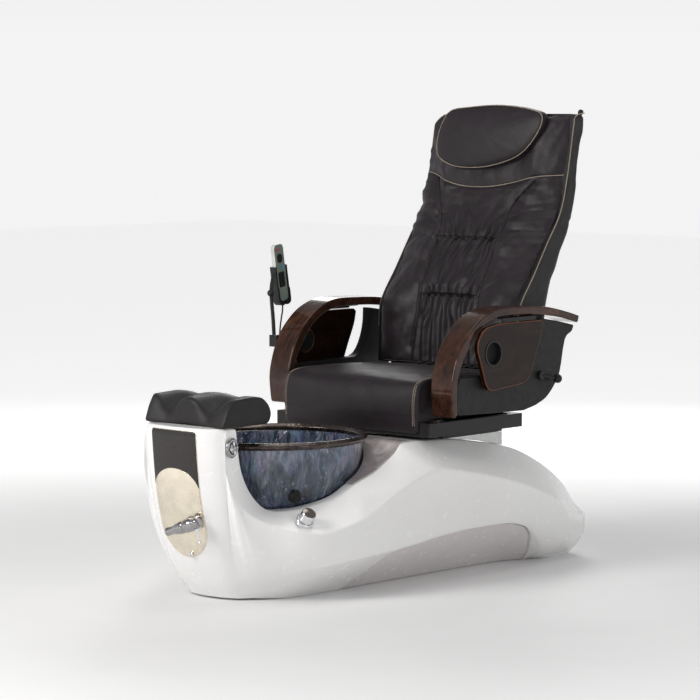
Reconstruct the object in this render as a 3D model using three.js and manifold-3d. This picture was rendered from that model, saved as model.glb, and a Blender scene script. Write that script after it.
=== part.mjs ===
// Pedicure spa chair: a moulded foot-spa base with a glass-look basin, and a reclining
// massage seat that slides on it. Millimetres, +Z up. The sitter faces -Y and the sitter's
// left hand is +X. The origin is on the floor, under the middle of the chair.

import * as THREE from 'three';
import { mergeVertices } from 'three/addons/utils/BufferGeometryUtils.js';
import Module from 'manifold-3d';

const wasm = await Module();
wasm.setup();

// ---------------------------------------------------------------- driving dimensions

const GAP = 0.4; // left between neighbours that touch
const WALL = 9; // base shell wall
const COLUMN_TOP = 540; // top of the front column
const FRAME_BOTTOM = 462; // underside of the seat box
const FRAME_TOP = 506;
const FRAME_HALF = 330;
const SEAT_TOP = 652;
const SEAT_HALF = 292;
const BACK_HALF = 298;

const BASIN = { y: -384, a: 290, b: 306, rim: 478, bottom: 205, wall: 7 };
const ARM = { inner: 307, outer: 397 };
const PANEL = { inner: 352, outer: 388 }; // upholstered side boards
const TRAY = { inner: 398, outer: 415, hingeX: 406.5, hingeZ: 819.6, cupY: 195, cupZ: 721, cupR: 39 };
const RECLINE = { y: 500, z: 575 }; // recline axis, across the chair
const LEVER = { y: 464, z: 632 };
const KNOB_AXIS = new THREE.Vector3(0.68, -0.15, 0.72).normalize();
const KNOB_SEAT = new THREE.Vector3(289, -552, 252);
const DIVERTER_AXIS = new THREE.Vector3(0.986, 0.166, 0).normalize();
const DIVERTER_SEAT = new THREE.Vector3(175.8, -752, 483);
const REMOTE = { x: -430, y: 100, z: 951, lean: 0.162, thick: 16, wide: 44, tall: 190 };
const POLE = { x: -420, y: 60, foot: 746, top: 882, r: 6.5 };
const MASSAGE = { foot: [570, 888], top: [722, 1194] }; // massage rail ends in the Y-Z plane

// Lines plan of the moulded base, one row a station, from the middle of the bow round the
// left side to the middle of the stern. Each row gives the foot, the skirt crease, the side
// crease and the inner edge of the sloping band, and how far the side swells between them.
const STATIONS = [
  [[0, -678, 6], [0, -712, 45], [0, -826, 524], [0, -818, 540], 34],
  [[45, -674, 6], [52, -706, 50], [88, -824, 524], [84, -816, 540], 33],
  [[80, -664, 6], [98, -698, 56], [148, -808, 524], [142, -800, 540], 30],
  [[103, -652, 6], [125, -685, 62], [172, -786, 524], [166, -778, 540], 25],
  [[118, -636, 6], [146, -670, 68], [173, -785, 500], [170, -727, 537], 24],
  [[133, -615, 6], [165, -658, 71], [174, -780, 430], [169, -716, 480], 24],
  [[143, -602, 5], [180, -648, 74], [177, -765, 385], [164, -700, 420], 24],
  [[152, -588, 4], [197, -634, 78], [184, -742, 335], [161, -674, 365], 22],
  [[162, -570, 3], [215, -617, 82], [200, -712, 287], [169, -640, 313], 18],
  [[173, -545, 1], [240, -596, 87], [226, -673, 256], [188, -610, 284], 12],
  [[183, -515, 0], [266, -574, 93], [258, -632, 237], [212, -580, 277], 9],
  [[191, -475, 0], [304, -532, 104], [306, -584, 220], [243, -525, 281], 8],
  [[196, -430, 0], [335, -486, 113], [345, -520, 216], [266, -458, 294], 8],
  [[198, -370, 0], [355, -420, 121], [370, -425, 234], [282, -400, 310], 7],
  [[199, -300, 0], [366, -340, 127], [380, -353, 256], [295, -335, 342], 6],
  [[199, -205, 0], [372, -215, 136], [385, -222, 318], [302, -250, 372], 6],
  [[199, -120, 0], [375, -120, 144], [389, -120, 354], [297, -152, 420], 6],
  [[199, -20, 0], [378, -15, 156], [390, -32, 371], [287, -90, 452], 6],
  [[199, 120, 0], [379, 120, 163], [390, 122, 346], [281, 100, 446], 6],
  [[200, 300, 0], [378, 300, 162], [390, 314, 303], [280, 300, 420], 6],
  [[205, 450, 0], [368, 430, 136], [385, 480, 251], [280, 450, 389], 8],
  [[232, 545, 0], [345, 525, 72], [375, 597, 204], [278, 605, 326], 18],
  [[262, 610, 0], [288, 606, 14], [360, 664, 166], [276, 715, 258], 40],
  [[277, 680, 0], [284, 680, 10], [335, 740, 148], [270, 775, 205], 36],
  [[264, 782, 0], [270, 786, 10], [300, 820, 138], [255, 808, 165], 20],
  [[185, 797, 0], [187, 801, 10], [200, 827, 134], [190, 819, 160], 16],
  [[0, 800, 0], [0, 804, 10], [0, 829, 134], [0, 821, 160], 16],
];

const DECK_STATION = 14; // the basin deck runs from here
const DECK_END = 17; // to the front of the seat platform

// ---------------------------------------------------------------- materials

const material = (color, roughness, metalness = 0) =>
  new THREE.MeshStandardMaterial({ color, roughness, metalness });

const gelcoat = material(0xe9e6e3, 0.15);
const gelcoatShade = material(0xd8d2d0, 0.2);
const blackPlastic = material(0x141213, 0.35);
const mirrorCream = material(0xe6d7bd, 0.08, 0.6);
const pearlGlass = material(0x2f3a4d, 0.1, 0.3);
const pearlDeck = material(0xb3a9a6, 0.2, 0.2);
const bronze = material(0x4a3a36, 0.25, 0.5);
const chrome = material(0xd8d8da, 0.06, 1);
const zinc = material(0x9aa09c, 0.4, 0.9);
const leather = material(0x2a272b, 0.5);
const walnut = material(0x3a1c14, 0.18);
const panelBlack = material(0x1b1918, 0.6);
const silver = material(0xc9cac9, 0.3, 0.5);
const redKey = material(0xb8463c, 0.5);
const blueKey = material(0x3d7a92, 0.5);
const rubber = material(0x161616, 0.8);

// ---------------------------------------------------------------- geometry helpers

const chair = new THREE.Group();

function add(name, geometry, look, parent = chair) {
  const mesh = new THREE.Mesh(geometry, look);
  mesh.name = name;
  parent.add(mesh);
  return mesh;
}

function positionsOnly(geometry) {
  const bare = geometry.clone();
  bare.deleteAttribute('normal');
  bare.deleteAttribute('uv');
  return mergeVertices(bare, 1e-3);
}

function toSolid(geometry) {
  const merged = positionsOnly(geometry);
  const vertProperties = new Float32Array(merged.attributes.position.array);
  const triVerts = new Uint32Array(merged.index.array);
  return new wasm.Manifold(new wasm.Mesh({ numProp: 3, vertProperties, triVerts }));
}

function fromSolid(solid) {
  const mesh = solid.getMesh();
  const geometry = new THREE.BufferGeometry();
  const stride = mesh.numProp;
  const count = mesh.vertProperties.length / stride;
  const positions = new Float32Array(count * 3);
  for (let i = 0; i < count; i += 1) {
    positions.set(mesh.vertProperties.slice(i * stride, i * stride + 3), i * 3);
  }
  geometry.setAttribute('position', new THREE.BufferAttribute(positions, 3));
  geometry.setIndex(new THREE.BufferAttribute(new Uint32Array(mesh.triVerts), 1));
  return geometry;
}

const cut = (body, ...tools) =>
  fromSolid(tools.reduce((solid, tool) => solid.subtract(toSolid(tool)), toSolid(body)));

const join = (body, ...others) =>
  fromSolid(others.reduce((solid, other) => solid.add(toSolid(other)), toSolid(body)));

// A closed geometry from triangles given as points: shared corners are merged, collapsed
// triangles are dropped, and the faces are turned to point out.
function closedGeometry(triangles) {
  const soup = new THREE.BufferGeometry();
  soup.setAttribute('position', new THREE.Float32BufferAttribute(triangles.flat(2), 3));
  const merged = mergeVertices(soup, 1e-3);
  const kept = [];
  const source = merged.index.array;
  for (let i = 0; i < source.length; i += 3) {
    const [a, b, c] = [source[i], source[i + 1], source[i + 2]];
    if (a !== b && b !== c && c !== a) {
      kept.push(a, b, c);
    }
  }
  const corner = (i) => new THREE.Vector3().fromBufferAttribute(merged.attributes.position, i);
  let volume = 0;
  for (let i = 0; i < kept.length; i += 3) {
    volume += corner(kept[i]).dot(corner(kept[i + 1]).cross(corner(kept[i + 2])));
  }
  if (volume < 0) {
    kept.reverse();
  }
  merged.setIndex(kept);
  return merged;
}

const quad = (a, b, c, d) => [[a, b, c], [a, c, d]];

// A solid through rings of equal length, closed by a fan at each end.
function loft(rings) {
  const triangles = [];
  const size = rings[0].length;
  for (let r = 0; r + 1 < rings.length; r += 1) {
    for (let i = 0; i < size; i += 1) {
      const j = (i + 1) % size;
      triangles.push(...quad(rings[r][i], rings[r][j], rings[r + 1][j], rings[r + 1][i]));
    }
  }
  const middle = (ring) => [0, 1, 2].map((k) => ring.reduce((s, p) => s + p[k], 0) / size);
  const first = middle(rings[0]);
  const last = middle(rings[rings.length - 1]);
  for (let i = 0; i < size; i += 1) {
    const j = (i + 1) % size;
    triangles.push([first, rings[0][j], rings[0][i]]);
    triangles.push([last, rings[rings.length - 1][i], rings[rings.length - 1][j]]);
  }
  return closedGeometry(triangles);
}

// A smooth line through hand-placed points, sampled into count + 1 points.
function smooth(points, count) {
  const curve = new THREE.CatmullRomCurve3(
    points.map(([a, b]) => new THREE.Vector3(a, b, 0)), false, 'centripetal');
  return curve.getPoints(count).map((p) => [p.x, p.y]);
}

function outline(points, holes = []) {
  const shape = new THREE.Shape(points.map(([a, b]) => new THREE.Vector2(a, b)));
  shape.holes = holes.map((hole) => new THREE.Path(hole.map(([a, b]) => new THREE.Vector2(a, b))));
  return shape;
}

const circlePoints = (cx, cy, r, count) =>
  Array.from({ length: count }, (_, i) => {
    const angle = (i / count) * Math.PI * 2;
    return [cx + r * Math.cos(angle), cy + r * Math.sin(angle)];
  });

const axes = (x, y, z) => new THREE.Matrix4().makeBasis(x, y, z);
const X = new THREE.Vector3(1, 0, 0);
const Y = new THREE.Vector3(0, 1, 0);
const Z = new THREE.Vector3(0, 0, 1);

// Extrusions of an outline drawn in the Y-Z, X-Y or X-Z plane.
function prismX(points, x0, x1, holes = []) {
  const geometry = new THREE.ExtrudeGeometry(outline(points, holes), { depth: x1 - x0, bevelEnabled: false });
  return geometry.applyMatrix4(axes(Y, Z, X)).translate(x0, 0, 0);
}

function prismY(points, y0, y1, holes = []) {
  const geometry = new THREE.ExtrudeGeometry(outline(points, holes), { depth: y1 - y0, bevelEnabled: false });
  return geometry.applyMatrix4(axes(X, Z, Y.clone().negate())).translate(0, y1, 0);
}

const block = (x0, x1, y0, y1, z0, z1) =>
  new THREE.BoxGeometry(x1 - x0, y1 - y0, z1 - z0)
    .translate((x0 + x1) / 2, (y0 + y1) / 2, (z0 + z1) / 2);

// A turned piece: profile points are [radius, height] along the axis from its foot.
function turned(profile, foot, axis, sides = 24) {
  const points = profile.map(([r, h]) => new THREE.Vector2(r, h));
  const geometry = new THREE.LatheGeometry(points, sides);
  const turn = new THREE.Quaternion().setFromUnitVectors(Y, axis);
  return geometry.applyQuaternion(turn).translate(foot.x, foot.y, foot.z);
}

function tube(points, radius, sides, steps) {
  const path = new THREE.CatmullRomCurve3(points.map((p) => new THREE.Vector3(...p)), false, 'centripetal');
  const section = outline(circlePoints(0, 0, radius, sides));
  return new THREE.ExtrudeGeometry(section, { steps, extrudePath: path, bevelEnabled: false });
}

const mirrored = (geometry) => {
  const flipped = positionsOnly(geometry);
  flipped.scale(-1, 1, 1);
  flipped.setIndex(Array.from(flipped.index.array).reverse());
  return flipped;
};

const mix = (a, b, t) => a.map((v, i) => v + (b[i] - v) * t);

// ---------------------------------------------------------------- moulded base

// The six points of one station, foot to inner edge, with the side swelled outwards.
function stationPoints(index) {
  const [foot, skirt, crease, inner, swell] = STATIONS[index];
  const before = STATIONS[Math.max(index - 1, 0)];
  const after = STATIONS[Math.min(index + 1, STATIONS.length - 1)];
  const along = [0, 1].map((k) => after[1][k] + after[2][k] - before[1][k] - before[2][k]);
  const length = Math.hypot(...along);
  let out = [along[1] / length, -along[0] / length];
  if (skirt[0] === 0) {
    out = [0, Math.sign(skirt[1])];
  }
  const lower = mix(skirt, crease, 0.33);
  const upper = mix(skirt, crease, 0.66);
  const moved = (p, d) => [p[0] + out[0] * d, p[1] + out[1] * d, p[2]];
  return [foot, skirt, moved(lower, swell), moved(upper, swell * 0.8), crease, inner];
}

const HULL = STATIONS.map((_, index) => stationPoints(index));
const flipX = ([x, y, z]) => [-x, y, z];

// The whole outside of the base as one closed body, straight across between its two sides.
function hullSolid(rows) {
  const triangles = [];
  for (let s = 0; s + 1 < rows.length; s += 1) {
    const [a, b] = [rows[s], rows[s + 1]];
    for (let k = 0; k + 1 < a.length; k += 1) {
      triangles.push(...quad(a[k], b[k], b[k + 1], a[k + 1]));
      triangles.push(...quad(flipX(a[k]), flipX(a[k + 1]), flipX(b[k + 1]), flipX(b[k])));
    }
    const top = a.length - 1;
    triangles.push(...quad(a[top], b[top], flipX(b[top]), flipX(a[top])));
    triangles.push(...quad(a[0], flipX(a[0]), flipX(b[0]), b[0]));
  }
  return closedGeometry(triangles);
}

// The hull moved in by a wall, and open through the floor.
function hollow(rows, wall) {
  return rows.map((row) => row.map(([x, y, z], k) => {
    const inwardY = y * (1 - wall / 600);
    if (k === 0) {
      return [Math.max(0, x - 30), inwardY, -1];
    }
    return [Math.max(0, x - wall), inwardY, k === 1 ? z + 12 : z - wall];
  }));
}

// An elliptical turned solid about the middle of the basin, as wide as the basin when the
// profile's radius is 1. Profile points are [radius fraction, height].
function basinTurned(profile, sides = 32) {
  const points = profile.map(([f, z]) => new THREE.Vector2(f, z));
  const geometry = new THREE.LatheGeometry(points, sides);
  geometry.applyMatrix4(axes(X, Z, Y.clone().negate()));
  geometry.scale(BASIN.a, BASIN.b, 1);
  return geometry.translate(0, BASIN.y, 0);
}

const basinOutside = [
  [0, BASIN.bottom],
  [0.42, BASIN.bottom + 4],
  [0.66, BASIN.bottom + 32],
  [0.8, BASIN.bottom + 78],
  [0.885, BASIN.bottom + 140],
  [0.925, BASIN.bottom + 205],
  [0.94, BASIN.rim - 16],
];

const basinInside = [
  [0.916, BASIN.rim - 16],
  [0.901, BASIN.bottom + 206],
  [0.861, BASIN.bottom + 143],
  [0.776, BASIN.bottom + 83],
  [0.64, BASIN.bottom + 39],
  [0.41, BASIN.bottom + BASIN.wall + 5],
  [0, BASIN.bottom + BASIN.wall],
];

const basinHole = [
  [0, BASIN.bottom - 12],
  [0.45, BASIN.bottom - 8],
  [0.69, BASIN.bottom + 28],
  [0.825, BASIN.bottom + 76],
  [0.91, BASIN.bottom + 140],
  [0.95, BASIN.bottom + 205],
  [0.97, BASIN.rim - 18],
  [0.97, BASIN.rim + 90],
  [0, BASIN.rim + 90],
];

const hull = hullSolid(HULL);
const cavity = fromSolid(
  toSolid(hullSolid(hollow(HULL, WALL))).intersect(toSolid(block(-500, 500, -600, 900, -30, 500))));
const columnShaft = block(-140, 140, -782, -744, 150, 526);
const bowCavity = block(-95, 95, -640, -590, -5, 200);

// Outline of the removable side panels in the Y-Z plane.
const panelArc = smooth([
  [-300, -5], [-235, 128], [-215, 134], [-120, 144], [-15, 156], [120, 163], [300, 162],
  [380, 150], [430, 134], [472, 105], [503, 70], [540, 30], [570, -5],
], 24);

// The panel outline pulled in all round by a small clearance.
function shrunkArc(clearance) {
  const middle = [130, 40];
  return panelArc.map(([y, z]) => {
    const away = [y - middle[0], z - middle[1]];
    const length = Math.hypot(...away);
    return [y - Math.sign(away[0]) * clearance * 6, Math.max(1, z - (away[1] / length) * clearance)];
  });
}

const movedIn = (dx) =>
  hullSolid(HULL.map((row) => row.map(([x, y, z]) => [Math.max(0, x - dx), y, z])));

// A side panel: it sits 4 mm behind the moulded skin and is about 5 mm thick.
function accessPanel() {
  const shape = toSolid(prismX(shrunkArc(1.2), 120, 430));
  return fromSolid(toSolid(movedIn(4)).intersect(shape).subtract(toSolid(movedIn(9))));
}

const sideCutter = prismX(panelArc, 150, 420);
add('base_shell', cut(
  hull,
  cavity,
  columnShaft,
  bowCavity,
  basinTurned(basinHole),
  sideCutter,
  mirrored(sideCutter),
  block(-230, 230, 60, 380, 300, 520),
), gelcoat);
const leftAccess = accessPanel();
add('access_panel_left', leftAccess, gelcoatShade);
add('access_panel_right', mirrored(leftAccess), gelcoatShade);

// Floor pan and the four screw feet under it.
const panHalf = 165;
add('floor_pan', block(-panHalf, panHalf, -480, 700, 22, 30), zinc);
const footProfile = [[0, 0], [24, 0], [24, 8], [9, 11], [9, 21.6], [0, 21.6]];
const feet = {
  front_left: [120, -430], front_right: [-120, -430], rear_left: [120, 640], rear_right: [-120, 640],
};
Object.entries(feet).forEach(([place, [x, y]]) => {
  add(`levelling_foot_${place}`, turned(footProfile, new THREE.Vector3(x, y, 0), Z, 16), rubber);
});

// ---------------------------------------------------------------- front of the column

// Depth of the bow's face at a height, in the middle (side = 0) or at the first station (1).
function bowFace(side, z) {
  const rail = HULL[side];
  for (let k = 0; k + 1 < rail.length; k += 1) {
    if (z <= rail[k + 1][2]) {
      const t = (z - rail[k][2]) / (rail[k + 1][2] - rail[k][2]);
      return rail[k][1] + t * (rail[k + 1][1] - rail[k][1]);
    }
  }
  return rail[rail.length - 2][1];
}

// A thin plate bent to the bow's face: half width at each height, stand-off and thickness.
function facePlate(heights, halfWidth, standOff, thick) {
  return loft(heights.map((z) => {
    const w = Math.max(0.5, halfWidth(z));
    const middleY = bowFace(0, z) - standOff;
    const sideY = middleY + (bowFace(1, z) - bowFace(0, z)) * (w / 88);
    return [[-w, sideY, z], [0, middleY, z], [w, sideY, z],
      [w, sideY - thick, z], [0, middleY - thick, z], [-w, sideY - thick, z]];
  }));
}

const FACE = { half: 92, top: 519, archTop: 414, archFoot: 350, taper: 235, foot: 138 };

// Half width of the light plate: an arch above, straight sides, and a round foot below.
function plateHalf(z, grow = 0) {
  const top = FACE.archTop + grow;
  const foot = FACE.foot - grow;
  const above = Math.max(0, (z - FACE.archFoot) / (top - FACE.archFoot));
  const below = Math.max(0, (FACE.taper - z) / (FACE.taper - foot));
  return (FACE.half + grow) * Math.sqrt(Math.max(0, 1 - Math.max(above, below) ** 2));
}

const archSteps = [0, 0.35, 0.6, 0.78, 0.9, 0.97, 1];
const plateHeights = (grow) => [
  ...archSteps.slice().reverse().map((t) => FACE.taper - t * (FACE.taper - FACE.foot + grow)),
  270, 310,
  ...archSteps.map((t) => FACE.archFoot + t * (FACE.archTop + grow - FACE.archFoot)),
];

add('front_plate', facePlate(plateHeights(0), (z) => plateHalf(z), 1, 3), mirrorCream);
const upperFace = facePlate([332, 361, 400, 440, 480, FACE.top], () => FACE.half, 1, 3);
const archOpening = facePlate(plateHeights(1), (z) => plateHalf(z, 1), -6, 18);
add('front_panel', cut(upperFace, archOpening), blackPlastic);

// Mixer on the light plate: a body along X, a spray head at its lower end, a pin lever.
const MIXER = { x: 46, z: 240, y: bowFace(0, 266) - 5, tilt: 0.3 };
const mixer = new THREE.Group();
mixer.position.set(MIXER.x, MIXER.y, MIXER.z);
mixer.rotation.set(0, -MIXER.tilt, 0);
chair.add(mixer);

// Pieces of the mixer are drawn along +X with their backs at y = 0, standing out to -y.
function barrelX(profile, y, z, squash = 1) {
  const geometry = turned(profile, new THREE.Vector3(0, 0, 0), X, 20);
  return geometry.scale(1, squash, 1).translate(0, y, z);
}

add('mixer_body', join(
  barrelX([[0, 2], [15, 2], [20, 10], [21, 34], [17, 40], [17, 62], [14, 66], [0, 66]], -24, 0),
  turned([[0, 0], [20, 0], [18, 6], [10, 10], [10, 24], [0, 24]],
    new THREE.Vector3(26, 0, 0), Y.clone().negate(), 20),
), chrome, mixer);
add('spray_head', barrelX([
  [0, -78], [9, -78], [12, -72], [13, -44], [17, -30], [19, -8], [15, 1.6], [0, 1.6],
], -24, 0, 0.82), chrome, mixer);
add('mixer_lever', turned(
  [[0, 17.8], [4.5, 17.8], [3.5, 24], [3, 58], [4, 62], [3, 66], [0, 66]],
  new THREE.Vector3(51, -24, 0), Z.clone().negate(), 12), chrome, mixer);
add('plate_key', turned(
  [[0, 0.6], [8, 0.6], [8, 4], [4, 5], [4, 12], [0, 12]],
  new THREE.Vector3(20, bowFace(0, 156) - 5, 146), Y.clone().negate(), 16), chrome);

// Round cross-spoked diverter on the column's side.
add('diverter_bezel', turned(
  [[16.4, 0], [30, 0], [30, 3], [26, 6], [16.4, 6], [16.4, 0]], DIVERTER_SEAT, DIVERTER_AXIS, 28), chrome);
const diverterTurn = new THREE.Quaternion().setFromUnitVectors(Y, DIVERTER_AXIS);
const spokes = [0, 1].map((k) => {
  const bar = new THREE.BoxGeometry(40, 6, 8).translate(0, 10, 0);
  return bar.rotateY(k * Math.PI / 2);
});
const diverterHub = new THREE.LatheGeometry(
  [[0, 1], [15.8, 1], [15.8, 8], [9, 15], [0, 16]].map(([r, h]) => new THREE.Vector2(r, h)), 20);
const diverter = join(diverterHub, ...spokes);
diverter.applyQuaternion(diverterTurn).translate(DIVERTER_SEAT.x, DIVERTER_SEAT.y, DIVERTER_SEAT.z);
add('diverter_knob', diverter, chrome);

// Drain knob on the sloping band.
add('drain_knob_bezel', turned(
  [[20, 2], [27, 2], [27, 5], [25, 7], [20, 7], [20, 2]], KNOB_SEAT, KNOB_AXIS, 24), chrome);
add('drain_knob', turned(
  [[0, 7.6], [22, 7.6], [23, 12], [23, 30], [21, 35], [15, 38], [0, 39]], KNOB_SEAT, KNOB_AXIS, 24), chrome);

// ---------------------------------------------------------------- basin

const basin = basinTurned([...basinOutside, ...basinInside]);
const drainHole = turned(
  [[0, -40], [30, -40], [30, 40], [0, 40]], new THREE.Vector3(0, BASIN.y, BASIN.bottom), Z, 20);
add('basin_bowl', cut(basin, drainHole), pearlGlass);

const lip = 13;
const lipSides = 8;
const rimProfile = Array.from({ length: lipSides + 1 }, (_, i) => {
  const angle = -Math.PI / 2 + (i / lipSides) * Math.PI * 2;
  return [0.955 + (lip / BASIN.a) * 1.25 * Math.cos(angle), BASIN.rim - 15.4 + lip + lip * Math.sin(angle)];
});
rimProfile[lipSides] = rimProfile[0];
add('basin_rim', basinTurned(rimProfile), bronze);

add('drain_fitting', turned(
  [[0, -100], [19, -100], [22, -12], [22, 4.4], [36, 5.4], [34, 9], [0, 10]],
  new THREE.Vector3(0, BASIN.y, BASIN.bottom + 8), Z, 20), chrome);
add('jet_housing', turned(
  [[0, 2], [20, 2], [20, 9], [14, 15], [0, 15]], new THREE.Vector3(216, -518, 318),
  new THREE.Vector3(0.83, -0.46, -0.31).normalize(), 20), blackPlastic);
const pedestalProfile = [[26, 0], [60, 0], [50, 12], [50, 160], [26, 160], [26, 0]];
add('basin_pedestal', turned(
  pedestalProfile, new THREE.Vector3(0, BASIN.y, 30.4), Z, 20), zinc);

// Pearl deck between the basin and the seat platform, a skin laid on the base.
function deckSkin() {
  const lift = (row, up) => [row[5][0] - 3, row[5][1], row[5][2] + up];
  const behind = HULL[DECK_END].map((point, k) => mix(point, HULL[DECK_END + 1][k], 0.16));
  const rings = [...HULL.slice(DECK_STATION, DECK_END + 1), behind].map((row) => {
    const low = lift(row, 0.6);
    const high = lift(row, 4);
    return [low, high, flipX(high), flipX(low)];
  });
  return loft(rings);
}
add('basin_apron', cut(deckSkin(), basinTurned(basinHole)), pearlDeck);

// ---------------------------------------------------------------- inside the base

add('control_box', block(-110, 110, 420, 580, 30.4, 150), blackPlastic);
add('drain_pump', join(
  block(-60, 60, -20, 90, 30.4, 90),
  turned([[0, 0], [42, 0], [42, 60], [0, 60]], new THREE.Vector3(0, 35, 89), Z, 20),
), blackPlastic);

// ---------------------------------------------------------------- footrest

add('footrest_bracket', block(-150, 150, -806, -738, COLUMN_TOP + GAP, COLUMN_TOP + 5), zinc);

const PAD = { half: 170, y0: -784, y1: -566, z0: COLUMN_TOP + 5 + GAP, top: 632 };

// Height of the pad across its width and from front (0) to back (1): two leg channels that
// deepen to the front, and a ridge between them.
function padTop(x, t) {
  const across = Math.abs(x) / PAD.half;
  const channel = Math.exp(-(((across - 0.5) / 0.24) ** 2));
  return PAD.top - (56 - 40 * t) * channel - 200 * Math.max(0, across - 0.9);
}
const padColumns = 16;
const padRings = [0, 0.06, 0.3, 0.6, 0.9, 1].map((t) => {
  const y = PAD.y0 + t * (PAD.y1 - PAD.y0);
  const edge = 1 - 0.55 * Math.abs(2 * t - 1) ** 10;
  const ring = [];
  for (let i = 0; i <= padColumns; i += 1) {
    const x = -PAD.half + (2 * PAD.half * i) / padColumns;
    ring.push([x, y, PAD.z0 + 4 + (padTop(x, t) - PAD.z0 - 4) * edge]);
  }
  ring.push([PAD.half - 16, y, PAD.z0], [0, y, PAD.z0], [-PAD.half + 16, y, PAD.z0]);
  return ring;
});
add('footrest_pad', loft(padRings), leather);

// ---------------------------------------------------------------- seat platform and slide

const railSide = [[150, 442.5], [427, 442.5], [427, 398], [330, 418.5], [240, 430.5], [150, 441]];
[['left', 1], ['right', -1]].forEach(([side, s]) => {
  const rail = prismX(railSide, 236, 262);
  add(`slide_rail_${side}`, s > 0 ? rail : mirrored(rail), zinc);
});
add('seat_carriage', cut(
  block(-268, 268, 120, 420, 445, FRAME_BOTTOM - GAP),
  block(-200, 200, 160, 380, 430, 470),
), blackPlastic);
add('seat_frame', cut(
  block(-FRAME_HALF, FRAME_HALF, -18, 447, FRAME_BOTTOM, FRAME_TOP),
  block(-FRAME_HALF + 24, FRAME_HALF - 24, 8, 420, FRAME_BOTTOM + 6, FRAME_TOP + 10),
), blackPlastic);

// Seat cushion: rolled front edge, sides cut square, a plain closed form.
const seatSide = [
  [20, FRAME_TOP + 4], [-20, FRAME_TOP], [-22, FRAME_BOTTOM + 2],
  ...smooth([
    [-30, FRAME_BOTTOM + 4], [-38, 520], [-38, 590], [-22, 632], [20, SEAT_TOP], [90, SEAT_TOP + 3],
  ], 10),
  [260, SEAT_TOP - 4], [400, SEAT_TOP - 12], [408, FRAME_TOP + 4],
];
add('seat_cushion', prismX(seatSide, -SEAT_HALF, SEAT_HALF), leather);

// ---------------------------------------------------------------- arms, boards and trays

const armOuter = smooth([
  [18, 546], [12, 611], [22, 665], [52, 737], [92, 786], [152, 831], [234, 859], [359, 862],
  [491, 854], [599, 833], [664, 816],
], 20);
const armInner = smooth([
  [657, 793], [572, 814], [465, 829], [350, 834], [239, 830], [178, 810], [132, 780], [92, 734],
  [62, 691], [43, 641], [38, 576], [42, 538],
], 20);
const armSide = [...armOuter, ...armInner, [30, 524], [21, 530]];

const boardSide = [
  [44, 540], [70, 531], [214, 526], [386, 523],
  ...smooth([[447, 535], [503, 557], [551, 601], [573, 636], [604, 748], [637, 767], [646, 786]], 8),
  [560, 804], [468, 818],
  ...smooth([[468, 806], [465, 765], [447, 708], [418, 668], [390, 655]], 5),
  [200, 652], [62, 650], [46, 620],
];
const trayOutline = [
  ...smooth([[163, 805], [224, 814], [330, 815], [437, 815]], 4),
  [449, 805],
  ...smooth([[446, 790], [439, 763], [410, 700], [376, 631], [350, 616]], 5),
  ...smooth([[340, 614], [265, 608], [190, 602], [172, 608], [159, 623]], 5),
  ...smooth([[150, 645], [130, 700], [117, 736], [122, 765], [140, 792]], 5),
];
const cupHole = circlePoints(TRAY.cupY, TRAY.cupZ, TRAY.cupR, 24);
const leafTop = 829.4;
const barrel = 2.4;
const hingeProfile = [
  [366, leafTop - 2.9], [366, leafTop], [TRAY.hingeX + 1, leafTop], [TRAY.hingeX + 1, TRAY.hingeZ + barrel],
  [TRAY.hingeX + barrel, TRAY.hingeZ + barrel], [TRAY.hingeX + barrel, TRAY.hingeZ - barrel],
  [TRAY.hingeX - barrel, TRAY.hingeZ - barrel], [TRAY.hingeX - barrel, leafTop - 2.9],
];

[['left', 1], ['right', -1]].forEach(([side, s]) => {
  const place = (geometry) => (s > 0 ? geometry : mirrored(geometry));
  add(`armrest_${side}`, place(prismX(armSide, ARM.inner, ARM.outer)), walnut);
  add(`side_board_${side}`, place(prismX(boardSide, PANEL.inner, PANEL.outer)), panelBlack);
  add(`tray_${side}`, place(prismX(trayOutline, TRAY.inner, TRAY.outer, [cupHole])), walnut);
  add(`tray_hinge_${side}`, place(prismY(hingeProfile, 250, 420)), zinc);
});

// Recline lever at the sitter's left: a hub on the side board, a stem and a ball.
const ball = new THREE.SphereGeometry(15, 16, 12).translate(412, 529, 618);
const hub = turned(
  [[0, 0], [15, 0], [13, 12], [0, 12]], new THREE.Vector3(PANEL.outer + GAP, LEVER.y, LEVER.z), X, 20);
const stem = tube([[397, LEVER.y, LEVER.z], [405, LEVER.y + 30, LEVER.z - 6], [411, 526, 619]], 5, 10, 6);
add('recline_lever', join(hub, stem, ball), blackPlastic);

// ---------------------------------------------------------------- backrest

const backFront = [
  [448, 690], [462, 790], [480, 846], [506, 896], [545, 960], [604, 1047], [676, 1154],
  [713, 1278], [741, 1434],
];
const backRear = [
  [596, 690], [621, 851], [639, 913], [683, 1005], [733, 1089], [764, 1183], [782, 1331],
  [800, 1400], [814, 1432],
];

// Points of the back's front line moved out along its own normal.
function shifted(points, distance) {
  return points.map((p, i) => {
    const a = points[Math.max(0, i - 1)];
    const b = points[Math.min(points.length - 1, i + 1)];
    const along = [b[0] - a[0], b[1] - a[1]];
    const length = Math.hypot(...along);
    return [p[0] - (along[1] / length) * distance, p[1] + (along[0] / length) * distance];
  });
}

const cushionSide = [
  ...smooth(shifted(backFront, 42), 14), [712, 1470], [745, 1480], [790, 1476], [806, 1460],
  [800, 1446], ...smooth(shifted(backFront, -14), 14).reverse(),
];
add('backrest_cushion', prismX(cushionSide, -BACK_HALF, BACK_HALF), leather);

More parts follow.
